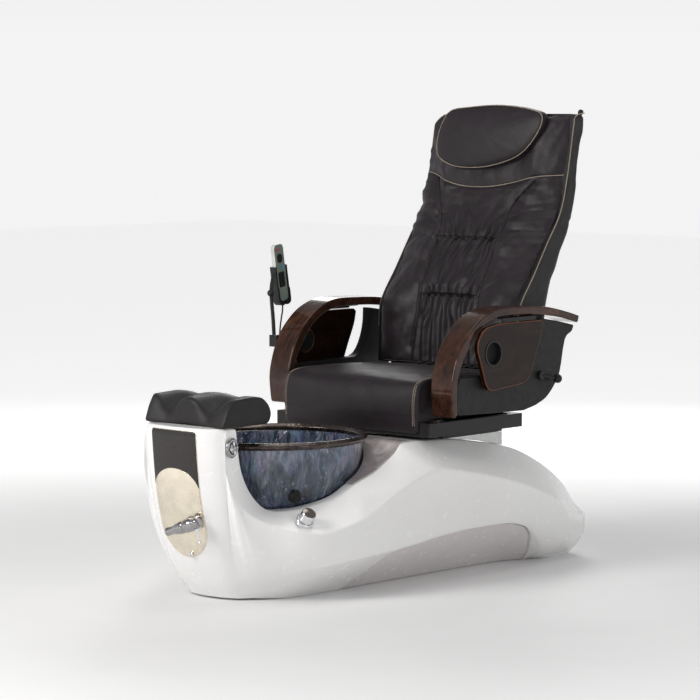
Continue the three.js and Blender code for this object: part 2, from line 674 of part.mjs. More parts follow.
const shellSide = [
  [470, 556], [455, 640], ...smooth(shifted(backFront, -15), 14),
  ...smooth(backRear, 12).reverse(), [575, 640], [530, 556],
];
const shellHollow = [
  ...smooth(shifted(backFront, -8), 14).slice(3, 12),
  ...smooth(shifted(backRear, 10), 12).slice(3, 9).reverse(),
];
add('backrest_shell', cut(
  prismX(shellSide, -BACK_HALF + 6, BACK_HALF - 6),
  prismX(shellHollow, -BACK_HALF + 30, BACK_HALF - 30),
  prismX(circlePoints(RECLINE.y, RECLINE.z, 12, 16), -BACK_HALF, BACK_HALF),
), blackPlastic);

// Pillow on the upper back.
const pillowRings = [-1, -0.94, -0.75, -0.4, 0, 0.4, 0.75, 0.94, 1].map((t) => {
  const half = Math.sqrt(Math.max(0.02, 1 - Math.abs(t) ** 3.2));
  return circlePoints(0, 0, 1, 14).map(([c, s]) => [t * 222, 24 * half * c, 104 * half * s]);
});
add('head_pillow', loft(pillowRings).rotateX(-0.18).translate(-6, 667, 1400), leather);

// Massage mechanism: a rod down the middle of the shell and a carriage with two rollers.
const rodRise = new THREE.Vector3(0, MASSAGE.top[0] - MASSAGE.foot[0], MASSAGE.top[1] - MASSAGE.foot[1]);
const rodLength = rodRise.length();
const rodFoot = new THREE.Vector3(0, MASSAGE.foot[0], MASSAGE.foot[1]);
rodRise.normalize();
add('massage_screw', turned([[0, 0], [7, 0], [7, rodLength], [0, rodLength]], rodFoot, rodRise, 12), zinc);
const roller = (x) => new THREE.CylinderGeometry(15, 15, 26, 16).rotateZ(Math.PI / 2).translate(x, 34, -6);
const carriage = join(new THREE.BoxGeometry(150, 44, 24).translate(0, 34, 0), roller(-52), roller(52));
const carriageNut = new THREE.CylinderGeometry(7.6, 7.6, 120, 12).translate(0, 34, 0);
const carriageTurn = new THREE.Quaternion().setFromUnitVectors(Y, rodRise);
add('massage_carriage', cut(carriage, carriageNut).applyQuaternion(carriageTurn)
  .translate(rodFoot.x, rodFoot.y, rodFoot.z), blackPlastic);

// ---------------------------------------------------------------- recline gear

add('recline_shaft', turned(
  [[0, -345], [11, -345], [11, 345], [0, 345]], new THREE.Vector3(0, RECLINE.y, RECLINE.z), X, 16), zinc);
add('recline_actuator', tube([[0, 60, 487], [0, 230, 487], [0, 405, 487]], 15, 12, 2), blackPlastic);

// ---------------------------------------------------------------- remote and its holder

add('remote_bracket', block(-430, -ARM.outer - GAP, 50, 76, 706, POLE.foot - 1), blackPlastic);
add('remote_pole', join(
  tube([
    [POLE.x, 62, POLE.foot], [POLE.x, 58, 800], [POLE.x - 2, 54, 850], [POLE.x - 3, 52, POLE.top],
  ], POLE.r, 12, 6),
  new THREE.SphereGeometry(12, 14, 10).translate(POLE.x - 3, 50, POLE.top + 2),
  tube([[POLE.x - 3, 50, POLE.top], [POLE.x - 4, 56, 915], [POLE.x - 4, 65.4, 948]], 6, 10, 4),
), blackPlastic);

// The handset group: its face looks along +x, it is wide along y and tall along z.
const handset = new THREE.Group();
handset.position.set(REMOTE.x, REMOTE.y, REMOTE.z);
handset.rotation.set(REMOTE.lean, 0, 0);
chair.add(handset);
const halfWide = REMOTE.wide / 2;
const halfTall = REMOTE.tall / 2;
const halfThick = REMOTE.thick / 2;

function roundedOutline(w, h, r) {
  const corners = [[w - r, h - r], [-w + r, h - r], [-w + r, -h + r], [w - r, -h + r]];
  return corners.flatMap(([cx, cy], quarter) =>
    Array.from({ length: 5 }, (_, i) => {
      const angle = (quarter + i / 4) * (Math.PI / 2);
      return [cx + r * Math.cos(angle), cy + r * Math.sin(angle)];
    }));
}

// Keys stand in wells in the face: [name, look, y, z, half width, half height, corner].
const KEYS = [
  ['power_key', redKey, -6, 78, 5, 5, 4.9],
  ['nav_pad', rubber, 0, 48, 12, 15, 11],
  ['heat_key', blueKey, 8, 18, 6, 6, 5.9],
];
const padWell = prismX(roundedOutline(15, 26, 4), halfThick - 4, halfThick + 2).translate(0, 0, -24);
const keyWell = ([, , y, z, w, h, r]) =>
  prismX(roundedOutline(w + GAP, h + GAP, r), halfThick - 4, halfThick + 2).translate(0, y, z);
add('remote_body', cut(
  prismX(roundedOutline(halfWide, halfTall, 14), -halfThick, halfThick),
  ...KEYS.map(keyWell),
  padWell,
), silver, handset);
KEYS.forEach((key) => {
  const [name, look, y, z, w, h, r] = key;
  const cap = prismX(roundedOutline(w, h, r), halfThick - 2.4, halfThick + 1.4);
  add(name, cap.translate(0, y, z), look, handset);
});
const keyMat = prismX(roundedOutline(14.6, 25.6, 3.6), halfThick - 2.4, halfThick - 0.6).translate(0, 0, -24);
const bumps = [-1, 1].flatMap((side) => [-38, -24, -10].map((z) =>
  prismX(circlePoints(side * 7, z, 4, 10), halfThick - 1, halfThick + 1.4)));
add('function_keys', join(keyMat, ...bumps), rubber, handset);

const cupOutline = roundedOutline(halfWide + 7, 32, 16);
add('remote_cradle', cut(
  join(
    prismX(cupOutline, -halfThick - 7, halfThick + 5).translate(0, 0, -78),
    block(-halfThick - 7, halfThick + 3, -halfWide - 6, -halfWide - 1, -60, 22),
    block(-halfThick - 7, halfThick + 3, halfWide + 1, halfWide + 6, -60, 22),
    block(-halfThick - 7, -halfThick - 1, -halfWide - 6, halfWide + 6, -60, 22),
  ),
  prismX(roundedOutline(halfWide + GAP, halfTall + GAP, 14), -halfThick - GAP, halfThick + 30),
  block(halfThick - 2, halfThick + 30, -halfWide + 4, halfWide - 4, -92, 60),
  block(-halfThick - 20, halfThick + 20, -6, 6, -140, -halfTall + 10),
), blackPlastic, handset);

// The handset's lead: a strain relief, the lead down the outside of the arm, a grommet.
const LEAD = [
  [-430, 115.4, 840.6], [-430, 114.6, 833], [-429.6, 114, 822], [-429, 110, 808], [-428, 105.5, 792],
  [-427, 101, 775], [-426, 97.5, 757], [-425, 95, 738], [-424, 93.4, 718], [-423, 92.6, 698],
  [-422, 92.4, 678], [-420.6, 92.6, 659], [-418, 93, 641], [-413.6, 93.6, 625], [-407, 94.2, 613],
  [-400.5, 94.7, 606.6], [-396.6, 95, 604.6],
];
const leadRadius = 2.6;
const reliefLength = 16;
add('remote_gland', turned([[0, 0.6], [5.2, 0.6], [3.4, reliefLength], [0, reliefLength]],
  new THREE.Vector3(0, 0, -halfTall), Z.clone().negate(), 12), rubber, handset);
add('remote_lead', tube(LEAD, leadRadius, 8, 24), rubber);
add('lead_grommet', turned([[0, 0.4], [9, 0.4], [8, 4], [5, 7], [0, 7]],
  new THREE.Vector3(-PANEL.outer, 95, 604), X.clone().negate(), 16), rubber);

export default chair;
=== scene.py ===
import math

import bmesh
import bpy
import numpy as np
from mathutils import Matrix, Vector, noise
from mathutils.bvhtree import BVHTree


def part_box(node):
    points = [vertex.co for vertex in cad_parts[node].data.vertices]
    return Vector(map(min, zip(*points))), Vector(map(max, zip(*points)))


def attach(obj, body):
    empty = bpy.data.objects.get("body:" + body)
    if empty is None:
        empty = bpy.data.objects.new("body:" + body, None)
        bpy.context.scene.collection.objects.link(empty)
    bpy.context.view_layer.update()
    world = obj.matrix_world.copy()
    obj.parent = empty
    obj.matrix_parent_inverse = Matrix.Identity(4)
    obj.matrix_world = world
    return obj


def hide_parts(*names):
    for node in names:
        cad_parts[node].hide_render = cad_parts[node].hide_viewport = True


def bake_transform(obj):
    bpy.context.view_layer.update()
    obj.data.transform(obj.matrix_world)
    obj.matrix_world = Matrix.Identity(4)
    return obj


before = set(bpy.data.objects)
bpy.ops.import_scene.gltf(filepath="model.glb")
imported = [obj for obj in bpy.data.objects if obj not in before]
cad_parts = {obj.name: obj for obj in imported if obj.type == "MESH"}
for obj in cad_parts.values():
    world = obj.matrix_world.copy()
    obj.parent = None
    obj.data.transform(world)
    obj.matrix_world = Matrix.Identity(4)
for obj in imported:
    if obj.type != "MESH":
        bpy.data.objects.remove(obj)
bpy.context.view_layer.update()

MM = 0.001
X, Y, Z = Vector((1, 0, 0)), Vector((0, 1, 0)), Vector((0, 0, 1))
scene = bpy.context.scene

# ------------------------------------------------------------------ camera, floor and light

CAMERA_PLACE = (6.343, -7.071, 1.524)
CAMERA_WAY = Vector((-0.6667, 0.7405, -0.0842))
CAMERA_LENS = 152.2

camera_data = bpy.data.cameras.new("camera")
camera_data.lens = CAMERA_LENS
camera_data.sensor_width = 36
camera_data.clip_end = 60
camera = bpy.data.objects.new("camera", camera_data)
scene.collection.objects.link(camera)
camera.location = CAMERA_PLACE
camera.rotation_euler = CAMERA_WAY.to_track_quat("-Z", "Y").to_euler()
scene.camera = camera


def area_light(name, place, target, size, power, tint=(1, 1, 1), stretch=1.0):
    """A soft rectangular lamp that faces its target."""
    light = bpy.data.lights.new(name, "AREA")
    light.shape = "RECTANGLE"
    light.size = size
    light.size_y = size * stretch
    light.energy = power
    light.color = tint
    obj = bpy.data.objects.new(name, light)
    scene.collection.objects.link(obj)
    obj.location = place
    obj.rotation_euler = (Vector(target) - Vector(place)).to_track_quat("-Z", "Y").to_euler()


area_light("front_softbox", (-1.2, -4.6, 3.0), (0, 0, 0.6), 2.0, 150, (1, 0.985, 0.97))
area_light("top_softbox", (0.4, 0.2, 4.4), (0, 0, 0.5), 2.6, 38, (1, 0.99, 0.985))
area_light("side_strip", (4.6, -0.4, 2.2), (0, 0, 0.6), 1.4, 22, (0.97, 0.98, 1), 1.6)
area_light("back_softbox", (-2.6, 3.6, 2.6), (0, 0.3, 0.8), 2.0, 55)

# The surround is brightest near the horizon and dimmer overhead.
world = bpy.data.worlds.new("studio")
world.use_nodes = True
sky = world.node_tree.nodes
direction = sky.new("ShaderNodeTexCoord")
height = sky.new("ShaderNodeSeparateXYZ")
glow = sky.new("ShaderNodeMapRange")
for socket, value in (("From Min", 0.02), ("From Max", 0.45), ("To Min", 0.90), ("To Max", 0.30)):
    glow.inputs[socket].default_value = value
world.node_tree.links.new(direction.outputs["Generated"], height.inputs[0])
world.node_tree.links.new(height.outputs["Z"], glow.inputs["Value"])
world.node_tree.links.new(glow.outputs["Result"], sky["Background"].inputs["Strength"])
sky["Background"].inputs["Color"].default_value = (1, 1, 1, 1)
scene.world = world
scene.view_settings.view_transform = "Standard"


# ------------------------------------------------------------------ materials

class Look:
    """A material built on one Principled shader, in object coordinates."""

    def __init__(self, name, **sockets):
        self.material = bpy.data.materials.new(name)
        self.material.use_nodes = True
        self.tree = self.material.node_tree
        self.shader = self.tree.nodes["Principled BSDF"]
        self.coordinates = self.tree.nodes.new("ShaderNodeTexCoord").outputs["Object"]
        self.height = None
        for socket, value in sockets.items():
            self.shader.inputs[socket.replace("_", " ")].default_value = value

    def node(self, kind, inputs=(), **settings):
        node = self.tree.nodes.new("ShaderNode" + kind)
        for key, value in settings.items():
            setattr(node, key, value)
        for key, value in dict(inputs).items():
            if isinstance(value, bpy.types.NodeSocket):
                self.tree.links.new(value, node.inputs[key])
            else:
                node.inputs[key].default_value = value
        return node

    def stretched(self, scale, turn=(0, 0, 0)):
        mapping = self.node("Mapping", {"Vector": self.coordinates, "Scale": scale, "Rotation": turn})
        return mapping.outputs["Vector"]

    def noise(self, scale, detail=4.0, stretch=(1, 1, 1), distortion=0.0, rough=0.55):
        inputs = {"Vector": self.stretched(stretch), "Scale": scale, "Detail": detail,
                  "Distortion": distortion, "Roughness": rough}
        return self.node("TexNoise", inputs).outputs["Fac"]

    def cells(self, scale):
        return self.node("TexVoronoi", {"Vector": self.coordinates, "Scale": scale}).outputs["Distance"]

    def ramp(self, factor, stops, smooth=False):
        node = self.node("ValToRGB", {"Fac": factor})
        elements = node.color_ramp.elements
        while len(elements) < len(stops):
            elements.new(0.5)
        for element, (place, color) in zip(elements, stops):
            element.position = place
            element.color = (*color, 1) if len(color) == 3 else color
        if smooth:
            node.color_ramp.interpolation = "EASE"
        return node.outputs["Color"]

    def grey(self, factor, stops):
        return self.ramp(factor, [(place, (v, v, v)) for place, v in stops])

    def mix(self, factor, a, b, mode="MIX"):
        node = self.node("Mix", data_type="RGBA", blend_type=mode)
        for index, value in ((0, factor), (6, a), (7, b)):
            if isinstance(value, bpy.types.NodeSocket):
                self.tree.links.new(value, node.inputs[index])
            elif index == 0:
                node.inputs[0].default_value = value
            else:
                node.inputs[index].default_value = (*value, 1)
        return node.outputs[2]

    def math(self, operation, a, b=0.0):
        node = self.node("Math", operation=operation)
        for index, value in enumerate((a, b)):
            if isinstance(value, bpy.types.NodeSocket):
                self.tree.links.new(value, node.inputs[index])
            else:
                node.inputs[index].default_value = value
        return node.outputs[0]

    def color(self, value):
        self.tree.links.new(value, self.shader.inputs["Base Color"])

    def roughness(self, value):
        self.tree.links.new(value, self.shader.inputs["Roughness"])

    def bump(self, height, depth, strength=1.0):
        node = self.node("Bump", {"Height": height, "Distance": depth, "Strength": strength})
        if self.height is not None:
            self.tree.links.new(self.height, node.inputs["Normal"])
        self.height = node.outputs["Normal"]
        self.tree.links.new(self.height, self.shader.inputs["Normal"])


def gelcoat(name, low, high):
    """Glossy moulded resin, slightly wavy."""
    look = Look(name, Coat_Weight=0.35, Coat_Roughness=0.08)
    look.color(look.ramp(look.noise(3, 3), [(0.3, low), (0.7, high)]))
    look.roughness(look.grey(look.noise(38, 5), [(0.3, 0.2), (0.75, 0.3)]))
    look.bump(look.noise(9, 2), 0.0006)
    return look.material


def leather(name, dark, light, grain=1.0, sheen=0.03):
    """Dark upholstery leather with pores and fine creases."""
    look = Look(name, Specular_IOR_Level=0.30, Sheen_Weight=sheen, Sheen_Roughness=0.5)
    look.color(look.ramp(look.noise(14, 6), [(0.25, dark), (0.8, light)]))
    pores = look.cells(620 * grain)
    look.roughness(look.grey(look.noise(26, 7), [(0.25, 0.40), (0.8, 0.52)]))
    look.bump(look.noise(46, 6, distortion=0.6), 0.0010, 0.5)
    look.bump(pores, 0.00045, 0.45)
    look.bump(look.noise(900 * grain, 3), 0.0002, 0.4)
    return look.material


def lacquer(name, stretch, coat, depth=1.0):
    """Stained wood under clear lacquer; depth scales its colour, and below one darkens it as painted shade.
    """
    look = Look(name, Coat_Weight=coat, Coat_Roughness=0.04, Specular_IOR_Level=0.15)
    grain = look.noise(11, 8, stretch, 1.6, 0.62)
    fine = look.noise(70, 5, stretch, 0.4)
    tones = ((0.3, (0.014, 0.006, 0.004)), (0.52, (0.046, 0.0175, 0.0100)), (0.72, (0.098, 0.038, 0.020)))
    wood = look.ramp(grain, [(at, tuple(c * depth for c in tone)) for at, tone in tones], True)
    streaks = look.grey(fine, [(0.35, 0.55), (0.6, 1.0)])
    look.color(look.mix(0.7, wood, look.mix(1.0, wood, streaks, "MULTIPLY")))
    look.roughness(look.grey(look.noise(30, 4), [(0.3, 0.16), (0.8, 0.26)]))
    look.bump(look.noise(18, 3), 0.0003, 0.5)
    look.bump(fine, 0.00008, 0.5)
    return look.material


def plastic(name, color, rough, depth=0.00018, lift=1.5, scale=420):
    """Moulded plastic; depth is that of its texture in metres, and may be none."""
    look = Look(name, Specular_IOR_Level=0.3)
    brighter = tuple(min(1.0, c * lift) for c in color)
    look.color(look.ramp(look.noise(24, 5), [(0.3, color), (0.75, brighter)]))
    look.roughness(look.grey(look.noise(50, 5), [(0.3, rough * 0.85), (0.75, min(1, rough * 1.2))]))
    if depth:
        look.bump(look.noise(scale, 3), depth, 0.5)
    return look.material


def metal(name, color, rough, depth=0, stretch=(1, 1, 1)):
    """Plated or polished metal; depth is that of its texture in metres, and may be none."""
    look = Look(name, Metallic=1.0)
    dull = tuple(c * 0.86 for c in color)
    look.color(look.ramp(look.noise(30, 4), [(0.3, dull), (0.7, color)]))
    look.roughness(look.grey(look.noise(90, 5, stretch), [(0.3, rough * 0.6), (0.8, rough * 1.5)]))
    if depth:
        look.bump(look.noise(260, 3, stretch), depth, 0.5)
    return look.material


def pearl(name):
    """The bowl's rippled glass, dark blue with shell colours, and a painted highlight that brightens it
    towards its rim.
    """
    look = Look(name, Metallic=0.25, Coat_Weight=0.8, Coat_Roughness=0.06, Specular_IOR_Level=0.6)
    ripple = look.noise(9, 5, (2.2, 2.2, 0.75), 1.8, 0.6)
    cloud = look.noise(5.5, 4, (1.2, 1.2, 0.8), 1.2)
    base = look.ramp(ripple, [(0.28, (0.008, 0.014, 0.022)), (0.5, (0.036, 0.056, 0.082)),
                              (0.64, (0.110, 0.145, 0.190)), (0.82, (0.32, 0.37, 0.44))], True)
    hue = look.ramp(look.noise(14, 4, (1, 1, 0.6), 2.4), [
        (0.30, (0.10, 0.34, 0.42)), (0.42, (0.10, 0.16, 0.44)), (0.52, (0.28, 0.22, 0.50)),
        (0.62, (0.52, 0.42, 0.54)), (0.72, (0.24, 0.50, 0.44)), (0.82, (0.70, 0.72, 0.80))])
    patches = look.grey(cloud, [(0.50, 0.0), (0.68, 0.75)])
    flecks = look.grey(look.noise(26, 4, (1.6, 1.6, 0.7), 2.0), [(0.60, 0.0), (0.72, 0.8)])
    colored = look.mix(patches, base, look.mix(0.45, base, hue))
    # Painted highlight: pale patches of light mixed into the colour near the top of the bowl.
    upper = look.node("SeparateXYZ", {"Vector": look.coordinates}).outputs["Z"]
    top = look.node("MapRange", {"Value": upper, "From Min": 0.36, "From Max": 0.50}).outputs["Result"]
    painted_glints = look.grey(look.noise(9, 5, (1.5, 1.5, 0.7), 2.6), [(0.46, 0.0), (0.68, 0.62)])
    painted_highlight = look.mix(0.5, hue, (0.62, 0.68, 0.78))
    colored = look.mix(look.math("MULTIPLY", top, painted_glints), colored, painted_highlight)
    look.color(look.mix(flecks, colored, hue))
    look.roughness(look.grey(ripple, [(0.3, 0.12), (0.8, 0.3)]))
    look.bump(look.noise(7, 4, (2.6, 2.6, 0.9), 1.6), 0.020, 0.75)
    look.bump(look.noise(34, 4, (1.4, 1.4, 0.9), 1.0), 0.002, 0.6)
    return look.material


def pearl_pale(name):
    """The same glass where it lies behind the bowl, pale and swirled."""
    look = Look(name, Metallic=0.15, Coat_Weight=0.6, Coat_Roughness=0.1)
    swirl = look.noise(7, 6, (1, 1, 1), 2.2)
    look.color(look.ramp(swirl, [(0.3, (0.30, 0.26, 0.26)), (0.52, (0.47, 0.42, 0.41)),
                                 (0.72, (0.66, 0.60, 0.60))], True))
    look.roughness(look.grey(look.noise(25, 5), [(0.3, 0.16), (0.75, 0.3)]))
    look.bump(look.noise(12, 4, (1, 1, 1), 1.6), 0.004, 0.4)
    return look.material


def beaded(name):
    """Bronze with small beads and pale patches of painted highlight."""
    look = Look(name, Metallic=0.75, Coat_Weight=0.5, Coat_Roughness=0.1)
    beads = look.cells(95)
    cloud = look.noise(6, 3)
    dark = look.ramp(look.noise(45, 5), [(0.3, (0.014, 0.009, 0.008)), (0.7, (0.075, 0.048, 0.040))])
    pale = look.ramp(look.noise(60, 5), [(0.3, (0.20, 0.16, 0.12)), (0.7, (0.50, 0.43, 0.35))])
    # The pale colour laid on through the cloud mask is painted highlight.
    look.color(look.mix(look.grey(cloud, [(0.48, 0.0), (0.70, 0.55)]), dark, pale))
    look.roughness(look.grey(look.noise(70, 4), [(0.3, 0.18), (0.8, 0.38)]))
    look.bump(beads, 0.0016, 0.7)
    look.bump(look.noise(30, 4), 0.0010, 0.5)
    return look.material


WHITE = gelcoat("white_gelcoat", (0.83, 0.82, 0.81), (0.88, 0.875, 0.87))
PANEL = gelcoat("panel_gelcoat", (0.70, 0.665, 0.655), (0.75, 0.72, 0.71))
LEATHER = leather("black_leather", (0.0070, 0.0044, 0.0064), (0.0155, 0.0102, 0.0146))
GUSSET = leather("gusset_leather", (0.0045, 0.004, 0.0042), (0.008, 0.007, 0.0075), 1.0, 0.02)
PAD = leather("moulded_pad", (0.008, 0.0068, 0.0072), (0.016, 0.0138, 0.0148), 1.6, 0.05)
WOOD = lacquer("lacquered_wood", (1.2, 0.55, 0.8), 0.42)
# Painted shade: the lacquered wood darkened to about a third for the trays' dark side faces.
SHADED_TRAY_WOOD = lacquer("tray_wood_painted_shade", (1.5, 0.35, 1.0), 0.12, 0.36)
BOARD = plastic("board_black", (0.008, 0.007, 0.0068), 0.5)
BLACK = plastic("black_plastic", (0.011, 0.010, 0.0105), 0.38)
RUBBER = plastic("black_rubber", (0.010, 0.010, 0.010), 0.6, 0.0003)
FASCIA = plastic("fascia_black", (0.028, 0.025, 0.0235), 0.3, 0, 1.2)
CHROME = metal("chrome", (0.82, 0.82, 0.84), 0.07)
ZINC = metal("zinc_plate", (0.52, 0.53, 0.52), 0.35, 0.00015, (1, 8, 1))
CREAM = metal("champagne_mirror", (0.88, 0.80, 0.66), 0.24)
BRONZE = beaded("bronze_rim")
PEARL = pearl("pearl_glass")
PEARL_DECK = pearl_pale("pearl_deck")
PIPING = plastic("piping_beige", (0.20, 0.165, 0.13), 0.55, 0.0004, 1.5, 900)
THREAD = plastic("thread_beige", (0.34, 0.27, 0.20), 0.6, 0.0004, 1.3, 1500)
SEAM = plastic("seam_shadow", (0.0016, 0.0014, 0.0015), 0.8)
# Painted shade: the chrome darkened for the mixer and diverter parts that lie in shade.
SHADED_CHROME = metal("chrome_painted_shade", (0.40, 0.39, 0.40), 0.08, 0.00005)
BRONZE_MIRROR = metal("bronze_mirror", (0.30, 0.265, 0.245), 0.10, 0.00005)
SILVER = plastic("handset_silver", (0.50, 0.505, 0.49), 0.28, 0.00006, 1.25)
KEYFACE = plastic("handset_face", (0.16, 0.19, 0.165), 0.5, 0.0001, 1.3)
RED = plastic("red_key", (0.42, 0.05, 0.04), 0.45, 0.0001)
BLUE = plastic("blue_key", (0.05, 0.19, 0.30), 0.45, 0.0001)
# Near-black painted shade for the inside of the cup holes.
CUP_SHADE = plastic("cup_recess_painted_shade", (0.0035, 0.0032, 0.003), 0.7)


def studio_floor():
    """A pale floor that brightens away from the chair into the white surround."""
    look = Look("floor", Specular_IOR_Level=0.2, Emission_Color=(1, 1, 1, 1))
    look.color(look.grey(look.noise(3, 3), [(0.3, 0.84), (0.7, 0.86)]))
    look.roughness(look.grey(look.noise(20, 3), [(0.3, 0.62), (0.7, 0.72)]))
    away = look.node("VectorMath", {0: look.coordinates}, operation="LENGTH").outputs["Value"]
    reach = {"Value": away, "From Min": 1.2, "From Max": 4.2, "To Max": 0.56}
    glow = look.node("MapRange", reach, interpolation_type="SMOOTHSTEP")
    look.tree.links.new(glow.outputs["Result"], look.shader.inputs["Emission Strength"])
    return look.material


FLOOR = studio_floor()


# ------------------------------------------------------------------ mesh helpers

def build(name, points, faces, material, smooth=True, sharp=38.0):
    mesh = bpy.data.meshes.new(name)
    mesh.from_pydata([tuple(p) for p in points], [], faces)
    obj = bpy.data.objects.new(name, mesh)
    scene.collection.objects.link(obj)
    obj.data.materials.append(material)
    tidy(obj, smooth, sharp)
    return obj


def tidy(obj, smooth=True, sharp=38.0):
    """Merges corners that coincide, turns the faces out and smooths all but the sharp edges."""
    bm = bmesh.new()
    bm.from_mesh(obj.data)
    bmesh.ops.remove_doubles(bm, verts=bm.verts, dist=1e-5)
    bmesh.ops.dissolve_degenerate(bm, edges=bm.edges, dist=1e-6)
    bmesh.ops.recalc_face_normals(bm, faces=bm.faces)
    bm.to_mesh(obj.data)
    bm.free()
    obj.data.shade_smooth() if smooth else obj.data.shade_flat()
    if smooth and sharp:
        obj.data.set_sharp_from_angle(angle=math.radians(sharp))


def applied(obj):
    """Makes the object's modifiers part of its mesh."""
    graph = bpy.context.evaluated_depsgraph_get()
    graph.update()
    mesh = bpy.data.meshes.new_from_object(obj.evaluated_get(graph))
    old = obj.data
    obj.modifiers.clear()
    obj.data = mesh
    bpy.data.meshes.remove(old)
    return obj


def boolean(obj, operation, *cutters):
    """Cuts an object with others, one after the other."""
    for cutter in cutters:
        modifier = obj.modifiers.new("cut", "BOOLEAN")
        modifier.operation = operation
        modifier.solver = "EXACT"
        modifier.object = cutter
        applied(obj)
    return obj


def drop(*objects):
    for obj in objects:
        bpy.data.objects.remove(obj)


def bevel(obj, width, segments=3, angle=32.0):
    """Rounds the edges that turn by more than the angle."""
    modifier = obj.modifiers.new("bevel", "BEVEL")
    modifier.width = width
    modifier.segments = segments
    modifier.limit_method = "ANGLE"
    modifier.angle_limit = math.radians(angle)
    modifier.harden_normals = True
    return obj


def subdivide(obj, levels=1):
    modifier = obj.modifiers.new("subdivision", "SUBSURF")
    modifier.levels = levels
    modifier.render_levels = levels
    return obj


def strips(rings, closed_ends=True):
    """Faces between closed rings of equal length."""
    count, size = len(rings), len(rings[0])
    faces = []
    for r in range(count - 1):
        for i in range(size):
            j = (i + 1) % size
            faces.append((r * size + i, r * size + j, (r + 1) * size + j, (r + 1) * size + i))
    if closed_ends:
        faces.append(tuple(range(size)))
        faces.append(tuple(range((count - 1) * size, count * size)))
    return faces


def lofted(name, rings, material, sharp=38.0, closed_ends=True):
    """A skin over rings of points."""
    points = [p for ring in rings for p in ring]
    return build(name, points, strips(rings, closed_ends), material, True, sharp)


def spline(points, count):
    """A centripetal Catmull-Rom line through points, sampled into count + 1 points."""
    p = np.array(points, float)
    p = np.vstack([2 * p[0] - p[1], p, 2 * p[-1] - p[-2]])
    step = np.maximum(np.linalg.norm(np.diff(p, axis=0), axis=1), 1e-9) ** 0.5
    knots = np.concatenate([[0], np.cumsum(step)])
    out = []
    for value in np.linspace(0, len(p) - 3, count + 1):
        i = min(int(value), len(p) - 4)
        t = knots[i + 1] + (value - i) * (knots[i + 2] - knots[i + 1])
        t0, t1, t2, t3 = knots[i:i + 4]
        p0, p1, p2, p3 = p[i:i + 4]
        a1 = (t1 - t) / (t1 - t0) * p0 + (t - t0) / (t1 - t0) * p1
        a2 = (t2 - t) / (t2 - t1) * p1 + (t - t1) / (t2 - t1) * p2
        a3 = (t3 - t) / (t3 - t2) * p2 + (t - t2) / (t3 - t2) * p3
        b1 = (t2 - t) / (t2 - t0) * a1 + (t - t0) / (t2 - t0) * a2
        b2 = (t3 - t) / (t3 - t1) * a2 + (t - t1) / (t3 - t1) * a3
        out.append((t2 - t) / (t2 - t1) * b1 + (t - t1) / (t2 - t1) * b2)
    return np.array(out)


def tube(name, points, radius, material, sides=12, up=Z):
    """A capped tube along a line, with one radius or one for each point."""
    points = [Vector(p) for p in points]
    radii = radius if isinstance(radius, (list, tuple)) else [radius] * len(points)
    rings = []
    normal = None
    for i, p in enumerate(points):
        along = (points[min(i + 1, len(points) - 1)] - points[max(i - 1, 0)]).normalized()
        if normal is None:
            normal = (up - along * up.dot(along)).normalized()
            if normal.length < 0.5:
                normal = along.orthogonal().normalized()
        normal = (normal - along * normal.dot(along)).normalized()
        side = along.cross(normal)
        rings.append([p + (side * math.cos(a) + normal * math.sin(a)) * radii[i] for a in circle(sides)])
    return lofted(name, rings, material, 60.0)


def circle(count):
    """Angles set evenly around a full turn."""
    return np.linspace(0, 2 * math.pi, count, endpoint=False)


def turned(name, profile, foot, axis, material, sides=48, scale=(1, 1), sharp=35.0):
    """A lathe piece; profile points are (radius, height) in metres along the axis."""
    turn = Z.rotation_difference(Vector(axis).normalized())
    wide, deep = scale
    rings = []
    for r, h in profile:
        rings.append([Vector(foot) + turn @ Vector((r * wide * math.cos(a), r * deep * math.sin(a), h))
                      for a in circle(sides)])
    closed = profile[0] == profile[-1]
    return lofted(name, rings, material, sharp, not closed and profile[0][0] > 0)


def eased(profile, radius, steps=3):
    """A line with its corners rounded by a small radius."""
    p = np.array(profile, float)
    out = [p[0]]
    for i in range(1, len(p) - 1):
        before, after = p[i - 1] - p[i], p[i + 1] - p[i]
        lb, la = np.linalg.norm(before), np.linalg.norm(after)
        r = min(radius, 0.45 * lb, 0.45 * la)
        if r < 1e-7:
            out.append(p[i])
            continue
        a, c = p[i] + before / lb * r, p[i] + after / la * r
        for t in np.linspace(0, 1, steps + 1):
            out.append((1 - t) ** 2 * a + 2 * t * (1 - t) * p[i] + t * t * c)
    out.append(p[-1])
    return [tuple(q) for q in out]


def prism(name, outline, low, high, material, axis="X", holes=(), sharp=38.0):
    """An outline in the plane across an axis, drawn out along it between two heights."""
    place = {"X": lambda a, b, h: (h, a, b), "Z": lambda a, b, h: (a, b, h)}[axis]
    bm = bmesh.new()
    loops = []
    for line in [outline, *holes]:
        verts = [bm.verts.new(place(a, b, low)) for a, b in line]
        loops += [bm.edges.new((verts[i], verts[(i + 1) % len(verts)])) for i in range(len(verts))]
    bmesh.ops.triangle_fill(bm, edges=loops, use_beauty=True, use_dissolve=True)
    drawn = bmesh.ops.extrude_face_region(bm, geom=bm.faces[:])
    moved = [v for v in drawn["geom"] if isinstance(v, bmesh.types.BMVert)]
    bmesh.ops.translate(bm, verts=moved, vec=Vector(place(0, 0, high - low)))
    mesh = bpy.data.meshes.new(name)
    bm.to_mesh(mesh)
    bm.free()
    obj = bpy.data.objects.new(name, mesh)
    scene.collection.objects.link(obj)
    mesh.materials.append(material)
    tidy(obj, True, sharp)
    return obj


def ring_points(cx, cy, r, count):
    """Points on a circle."""
    return [(cx + r * math.cos(a), cy + r * math.sin(a)) for a in circle(count)]


def place(obj, body, *nodes, slot=None):
    """Rides a finished piece on its body, in place of the CAD nodes it stands for."""
    if nodes:
        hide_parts(*nodes)
    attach(obj, body)
    return obj


